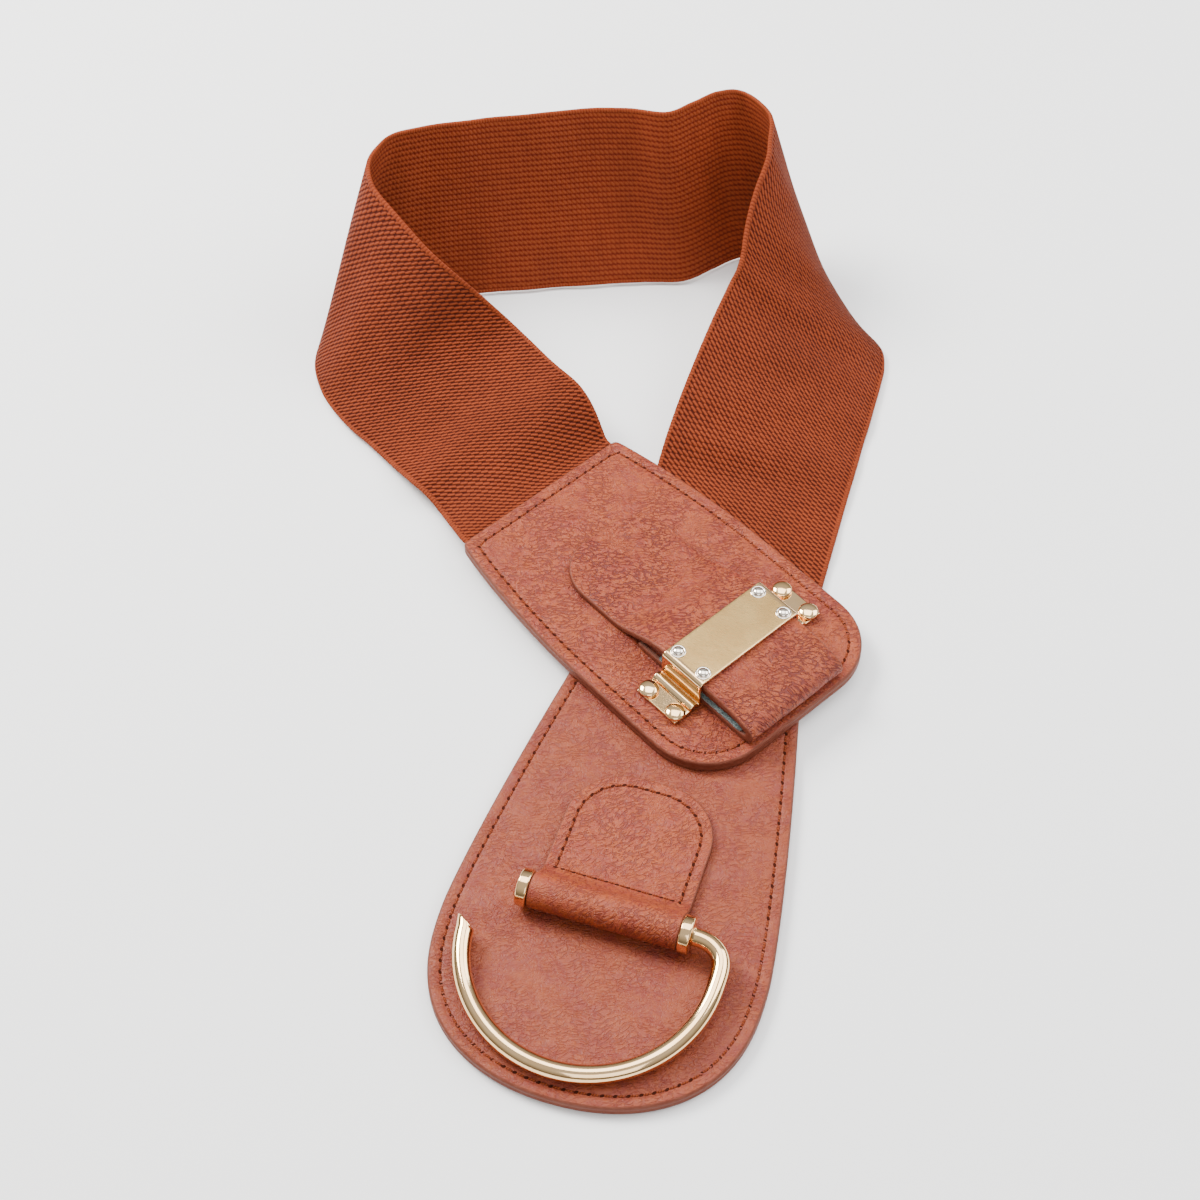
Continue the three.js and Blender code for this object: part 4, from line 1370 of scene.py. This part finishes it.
@dataclass
class Bridge:
    """The bent metal bridge with its ribs, rivets and studs."""

    middle: float = 79.6
    width: float = 15.0
    sheet: float = 1.0
    base: float = 7.6
    rise: float = 9.6
    strap_width: float = 35.0
    gap: float = 0.3
    foot_length: float = 9.0
    rib_radius: float = 1.3
    bend_radius: float = 1.0
    edge_round: float = 0.28
    rivet_radius: float = 1.6
    rivet_ring: float = 2.2
    rivet_height: float = 1.1
    rivet_inset: float = 3.6
    rivet_pitch: float = 9.8
    stud_radius: float = 2.85
    stud_height: float = 1.75
    stud_inset: float = 2.3
    stud_pitch: float = 10.4

    @property
    def leg(self) -> float:
        """The leg's outer face, from the middle."""
        return self.strap_width / 2 + self.gap + self.sheet

    def profile(self) -> np.ndarray:
        """The sheet's middle line across the plate, foot to foot."""
        leg = self.leg - self.sheet / 2
        low = self.base + self.sheet / 2
        high = self.base + self.rise - self.sheet / 2
        rib = leg + self.sheet + self.rib_radius
        half = np.vstack([
            arc((leg - self.bend_radius, high - self.bend_radius), self.bend_radius, 90, 0, 8),
            [[leg, low + 1.2]],
            arc((leg + 0.35, low + 0.5), 0.35, 180, 250, 3),
            arc((rib, low), self.rib_radius, 165, 0, 16),
            [[rib + self.rib_radius + 0.3, low]],
            [[self.leg + self.foot_length, low]],
        ])
        whole = np.vstack([half[::-1] * [-1, 1], half])
        return resampled(whole, 0.22)

    def section(self) -> np.ndarray:
        """The sheet's section: along the plate, and through the sheet, round edged."""
        half, thin, ease = self.width / 2, self.sheet / 2, self.edge_round
        corners = [(half - ease, -thin + ease, -90), (half - ease, thin - ease, 0),
                   (-half + ease, thin - ease, 90), (-half + ease, -thin + ease, 180)]
        rows = [arc((x, y), ease, start, start + 90, 5) for x, y, start in corners]
        flat = np.linspace(half - ease - 0.5, -half + ease + 0.5, 12)
        upper = np.column_stack([flat, np.full(12, thin)])
        lower = np.column_stack([flat[::-1], np.full(12, -thin)])
        return np.vstack([rows[0], rows[1], upper, rows[2], rows[3], lower])

    def build(self, wardrobe: Wardrobe) -> list[bpy.types.Object]:
        """Builds and dresses the bridge and its heads."""
        line, section = self.profile(), self.section()
        runs = np.gradient(line, axis=0)
        runs /= np.linalg.norm(runs, axis=1, keepdims=True)
        skin = Skin()
        size = len(section)
        reach = np.concatenate([[0], np.cumsum(np.linalg.norm(np.diff(line, axis=0), axis=1))])
        firsts = []
        for point, run, far in zip(line, runs, reach):
            over = np.array([-run[1], run[0]])
            ring = np.column_stack([
                self.middle + section[:, 0],
                point[0] + over[0] * section[:, 1], point[1] + over[1] * section[:, 1]])
            firsts.append(skin.add(ring, np.column_stack([np.full(size, far), section[:, 0]])))
        top = self.base + self.rise - self.sheet
        for (low, high), point in zip(zip(firsts, firsts[1:]), line):
            for spot in range(size):
                after = (spot + 1) % size
                flat_top = section[spot, 1] > self.sheet * 0.49 and section[after, 1] > self.sheet * 0.49
                satin = flat_top and point[1] > top and abs(point[0]) < self.leg - 2.0
                skin.face((low + after, low + spot, high + spot, high + after), 1 if satin else 0)
        skin.face(range(firsts[0], firsts[0] + size), 0)
        skin.face(list(range(firsts[-1], firsts[-1] + size))[::-1], 0)
        bridge = skin.object("strap_bridge", [wardrobe.polished, wardrobe.satin], LAYOUT.plate)
        settle(bridge, Body.BELT, ["bridge"])
        return [bridge, *self.heads(wardrobe)]

    @staticmethod
    def dome(radius: float, low: float, height: float, steps: int) -> list[tuple[float, float]]:
        """Radius and height of a dome from its rim to near its crown."""
        angles = np.linspace(0, math.pi / 2 * 0.97, steps)
        return [(radius * math.cos(angle), low + (height - low) * math.sin(angle))
                for angle in angles]

    def heads(self, wardrobe: Wardrobe) -> list[bpy.types.Object]:
        """Builds the rivets on the bridge and the studs on its feet."""
        made = []
        foot_end = self.leg + self.foot_length
        rivet = [(self.rivet_ring - 0.1, -0.1), (self.rivet_ring, 0.05), (self.rivet_ring - 0.05, 0.18),
                 (self.rivet_ring - 0.2, 0.24), (self.rivet_radius + 0.12, 0.22),
                 (self.rivet_radius + 0.02, 0.12),
                 *self.dome(self.rivet_radius, 0.2, self.rivet_height, 12)]
        stud = [(self.stud_radius - 0.5, -0.12), (self.stud_radius - 0.45, 0.12),
                (self.stud_radius - 0.08, 0.3), (self.stud_radius, 0.42),
                (self.stud_radius, 0.62),
                *self.dome(self.stud_radius - 0.03, 0.72, self.stud_height, 16)]
        number = 1
        for side in (-1, 1):
            for end in (-1, 1):
                for kind, profile, pitch, across, low, finish in (
                    ("rivet", rivet, self.rivet_pitch, side * (self.leg - self.rivet_inset),
                     self.base + self.rise + 0.02, wardrobe.bright),
                    ("stud", stud, self.stud_pitch, side * (foot_end - self.stud_inset),
                     self.base + self.sheet + 0.02, wardrobe.polished),
                ):
                    skin = Skin()
                    along = self.middle + end * pitch / 2
                    lathe(skin, profile, shift(along, across, low), 40)
                    head = skin.object(f"{kind}_head_{number}", [finish], LAYOUT.plate)
                    settle(head, Body.BELT, [f"{kind}_{number}"])
                    made.append(head)
                number += 1
        return made


@dataclass
class HookTab:
    """The stitched patch whose leather runs on round the hook's bar."""

    bar_radius: float = 2.6
    clearance: float = 0.3
    leather: float = 1.8
    length: float = 43.0
    width: float = 40.0
    corner: float = 16.0
    base: float = 3.7
    bar_height: float = 8.7
    leave_angle: float = 146.0
    valley: float = 10.6
    under_reach: float = 8.0
    stitch_inset: float = 3.2
    row_from_bar: float = 9.4

    def line(self) -> np.ndarray:
        """Middle line in side view, from the arch end round the bar to the hidden end."""
        radius = self.bar_radius + self.clearance + self.leather / 2
        low = self.base + self.leather / 2
        angle = math.radians(self.leave_angle)
        leave = np.array([radius * math.cos(angle), self.bar_height + radius * math.sin(angle)])
        run = np.array([-math.sin(angle), math.cos(angle)])
        corner = leave + run * ((low + 0.25 - leave[1]) / run[1])
        valley = np.array([-self.valley, low])
        share = np.linspace(0, 1, 30)[:, None]
        curve = (1 - share) ** 2 * valley + 2 * (1 - share) * share * corner + share ** 2 * leave
        turn = arc((0, self.bar_height), radius, self.leave_angle, -90, 50)
        path = np.vstack([
            [[-self.length, low]], curve, turn[1:],
            [[-self.under_reach * 0.5, self.base + 0.75]], [[-self.under_reach, self.base + 0.6]],
        ])
        path = resampled(path, 0.35)
        for _ in range(5):
            path[1:-1] = 0.5 * path[1:-1] + 0.25 * (path[:-2] + path[2:])
        return path

    def bend(self) -> tuple[Bend, float]:
        """The map from the flat tab to its shape round the bar, and the tab's length."""
        path = self.line()
        runs = np.gradient(path, axis=0)
        runs /= np.linalg.norm(runs, axis=1, keepdims=True)
        reach = np.concatenate([[0], np.cumsum(np.linalg.norm(np.diff(path, axis=0), axis=1))])
        skive = reach[-1] - self.under_reach

        def apply(points: np.ndarray) -> np.ndarray:
            """Carries flat points round the bar."""
            x = np.interp(points[:, 0], reach, path[:, 0])
            z = np.interp(points[:, 0], reach, path[:, 1])
            run_x = np.interp(points[:, 0], reach, runs[:, 0])
            run_z = np.interp(points[:, 0], reach, runs[:, 1])
            norm = np.hypot(run_x, run_z)
            thin = 1 - 0.6 * np.clip((points[:, 0] - skive) / self.under_reach, 0, 1)
            over = (points[:, 2] - self.leather / 2) * thin
            past = np.minimum(points[:, 0], 0) + np.maximum(points[:, 0] - reach[-1], 0)
            return np.column_stack([
                x - run_z / norm * over + run_x / norm * past, points[:, 1],
                z + run_x / norm * over + run_z / norm * past])

        return apply, float(reach[-1])

    def build(self, wardrobe: Wardrobe) -> list[bpy.types.Object]:
        """Builds and dresses the tab and its stitches."""
        bend, length = self.bend()
        half = self.width / 2
        outline = np.vstack([
            [[length, -half], [length, half]],
            arc((self.corner, half - self.corner), self.corner, 90, 180, 24),
            arc((self.corner, self.corner - half), self.corner, 180, 270, 24),
        ])
        outline = softened(resampled(outline, 0.8, closed=True), 2)
        panel = Panel(outline, self.leather, top_round=0.55, low_round=0.4, cell=0.9,
                      undulation=0.08, layers=False, seed=71.0)
        skin = Skin()
        panel.build(skin, bend)
        tab = skin.object("hook_tab_leather", [wardrobe.tab, wardrobe.edge, wardrobe.back],
                          LAYOUT.tab)
        settle(tab, Body.BELT, ["hook_tab"])
        row = self.length - self.row_from_bar
        inner = half - self.stitch_inset
        round_off = self.corner - self.stitch_inset
        arch = np.vstack([
            [[row, inner]],
            arc((self.corner, half - self.corner), round_off, 90, 180, 24),
            arc((self.corner, self.corner - half), round_off, 180, 270, 24),
            [[row, -inner]],
        ])
        threads = Skin()
        seam = Seam(pitch=3.1)
        seam.sew(threads, panel, arch, False, bend)
        seam.sew(threads, panel, np.array([[row, -inner + 2.0], [row, inner - 2.0]]), False, bend)
        stitches = threads.object("tab_stitches", [wardrobe.thread, wardrobe.hole], LAYOUT.tab)
        settle(stitches, Body.BELT)
        return [tab, stitches]


@dataclass
class WireHook:
    """The bent wire hook with its bar and two flanges."""

    bar_radius: float = 2.6
    sleeve_length: float = 39.5
    clearance: float = 0.3
    flange_thickness: float = 3.0
    flange_radius: float = 5.0
    wire: float = 4.8
    bow_radius: float = 32.5
    bow_centre: float = 11.9
    shoulder: float = 7.0
    tip_bevel: float = -35.0
    tip_trim: float = 2.0

    def line(self) -> np.ndarray:
        """Middle line of the wire, from its flange round the bow to the tip."""
        start = self.sleeve_length / 2 + self.clearance + self.flange_thickness - 0.6
        bow = self.bow_radius
        flat = np.vstack([
            [[0, start]],
            arc((self.shoulder, bow - self.shoulder), self.shoulder, 180, 90, 24),
            arc((self.bow_centre, 0), bow, 90, -90, 150),
            [[self.bow_centre - 4.0, -bow]],
        ])
        flat = resampled(flat, 0.7)
        for _ in range(14):
            flat[1:-1] = 0.5 * flat[1:-1] + 0.25 * (flat[:-2] + flat[2:])
        return np.column_stack([flat, np.zeros(len(flat))])

    def build(self, wardrobe: Wardrobe) -> bpy.types.Object:
        """Builds and dresses the hook."""
        line = self.line()
        skin = Skin()
        angle = math.radians(self.tip_bevel)
        facing = np.array([math.cos(angle), math.sin(angle), 0.0])
        corner = np.array([self.bow_centre + self.tip_trim, -self.bow_radius, 0.0])
        keep = ((line - corner) @ facing > 0.9) | (line[:, 1] > -self.bow_radius + 6)
        line = line[keep]
        segments = 40
        radius = self.wire / 2
        tube(skin, line, np.full(len(line), radius), segments)
        run = line[-1] - line[-2]
        run /= np.linalg.norm(run)
        side = np.cross([0.0, 0.0, 1.0], run)
        side /= np.linalg.norm(side)
        over = np.cross(run, side)
        angles = np.linspace(0, 2 * math.pi, segments, endpoint=False)
        previous = skin.count - segments
        for share, back in ((1.0, 0.42), (0.985, 0.22), (0.94, 0.07), (0.86, 0.0), (0.5, -0.03), (0.02, -0.04)):
            ring = (line[-1] + radius * share * np.cos(angles)[:, None] * side
                    + radius * share * np.sin(angles)[:, None] * over)
            reach = ((corner - ring) @ facing) / (run @ facing)
            ring = ring + reach[:, None] * run + facing * back
            first = skin.add(ring, ring[:, :2])
            skin.strip(previous, first, segments, 0)
            previous = first
        skin.face(range(previous, previous + segments), 0)
        inner = self.sleeve_length / 2 + self.clearance
        outer = inner + self.flange_thickness
        to_y = np.eye(4)
        to_y[:3, :3] = [[1, 0, 0], [0, 0, 1], [0, -1, 0]]
        lathe(skin, [(self.bar_radius, -inner - 0.5), (self.bar_radius, inner + 0.5)], to_y, 40)
        ease = 0.55
        for side_sign in (1, -1):
            rim = [(self.bar_radius, inner - 0.02)]
            rim += [(self.flange_radius - ease * (1 - math.sin(t)), inner + ease * (1 - math.cos(t)))
                    for t in np.linspace(0, math.pi / 2, 7)]
            rim += [(self.flange_radius - ease * (1 - math.cos(t)), outer - ease * (1 - math.sin(t)))
                    for t in np.linspace(0, math.pi / 2, 7)]
            if side_sign > 0:
                rim += [(self.wire / 2 + 0.9, outer), (self.wire / 2 + 0.35, outer + 0.12),
                        (self.wire / 2 + 0.08, outer + 0.42), (self.wire / 2 - 0.1, outer + 0.9)]
            else:
                rim += [(self.flange_radius * 0.6, outer + 0.08), (self.flange_radius * 0.2, outer + 0.14)]
            place = to_y.copy()
            if side_sign > 0:
                place[:3, :3] = [[1, 0, 0], [0, 0, 1], [0, -1, 0]]
            else:
                place[:3, :3] = [[1, 0, 0], [0, 0, -1], [0, 1, 0]]
            lathe(skin, rim, place, 56)
        hook = skin.object("wire_hook", [wardrobe.polished], LAYOUT.hook)
        settle(hook, Body.HOOK, ["hook"])
        return hook


@dataclass
class Studio:
    """Pale floor, soft lights and the camera."""

    lens: float = 66.0
    camera_y: float = -0.38432
    camera_z: float = 0.49868
    pitch: float = 37.5
    floor_size: float = 6.0
    horizon: tuple = (0.30, 0.285, 0.265, 1.0)
    sky: tuple = (1.0, 1.0, 1.0, 1.0)
    horizon_end: float = 0.22
    sky_start: float = 0.75
    sky_power: float = 0.8

    def light(
        self, name: str, place: Sequence[float], size: float, power: float,
        colour: Sequence[float] = (1, 1, 1), aim: Sequence[float] = (0, 0, 0),
    ) -> None:
        """Adds one square area light that faces a point."""
        data = bpy.data.lights.new(name, "AREA")
        data.size = size
        data.energy = power
        data.color = colour
        lamp = bpy.data.objects.new(name, data)
        lamp.location = place
        toward = Vector(aim) - Vector(place)
        lamp.rotation_euler = toward.to_track_quat("-Z", "Y").to_euler()
        bpy.context.scene.collection.objects.link(lamp)

    def dress_world(self, world: bpy.types.World) -> None:
        """Gives the world a soft sky: bright overhead, darker towards the horizon."""
        tree = world.node_tree
        background = tree.nodes["Background"]
        place = tree.nodes.new("ShaderNodeTexCoord")
        parts = tree.nodes.new("ShaderNodeSeparateXYZ")
        ramp = tree.nodes.new("ShaderNodeValToRGB")
        tree.links.new(place.outputs["Generated"], parts.inputs[0])
        tree.links.new(parts.outputs["Z"], ramp.inputs[0])
        tree.links.new(ramp.outputs[0], background.inputs[0])
        ramp.color_ramp.elements[0].position = self.horizon_end
        ramp.color_ramp.elements[0].color = self.horizon
        ramp.color_ramp.elements[1].position = self.sky_start
        ramp.color_ramp.elements[1].color = self.sky
        background.inputs[1].default_value = self.sky_power

    def build(self, wardrobe: Wardrobe) -> None:
        """Builds the floor, lights, world and camera."""
        half = self.floor_size / 2
        mesh = bpy.data.meshes.new("studio_floor")
        mesh.from_pydata(
            [(-half, -half, 0), (half, -half, 0), (half, half, 0), (-half, half, 0)], [],
            [(0, 1, 2, 3)])
        mesh.materials.append(wardrobe.floor)
        floor = bpy.data.objects.new("studio_floor", mesh)
        floor.location.z = -0.0002
        bpy.context.scene.collection.objects.link(floor)
        world = bpy.data.worlds.new("studio")
        world.use_nodes = True
        self.dress_world(world)
        bpy.context.scene.world = world
        self.light("key", (-0.66, 0.46, 0.80), 0.5, 26.0, (1.0, 0.985, 0.96))
        self.light("top", (0.05, 0.25, 1.1), 0.7, 9.0)
        self.light("fill", (0.80, 0.25, 0.7), 0.7, 10.5, (0.98, 0.99, 1.0))
        self.light("front", (0.1, -0.9, 0.7), 0.7, 4.0)
        data = bpy.data.cameras.new("camera")
        data.lens = self.lens
        data.sensor_width = 36.0
        data.clip_start = 0.01
        camera = bpy.data.objects.new("camera", data)
        camera.location = (LAYOUT.centre_x * MM, self.camera_y, self.camera_z)
        camera.rotation_euler = (math.radians(self.pitch), 0, 0)
        bpy.context.scene.collection.objects.link(camera)
        bpy.context.scene.camera = camera


def main() -> None:
    """Builds the belt piece by piece."""
    logging.basicConfig(level=logging.INFO, format="%(name)s %(message)s")
    wardrobe = Wardrobe()
    for part in (
        ElasticWeb(), PaddlePlate(), LoopPlate(), FoldedStrap(), Bridge(), HookTab(), WireHook(),
        Studio(),
    ):
        part.build(wardrobe)
        LOG.info("%s is ready", type(part).__name__)


if __name__ == "__main__":
    main()
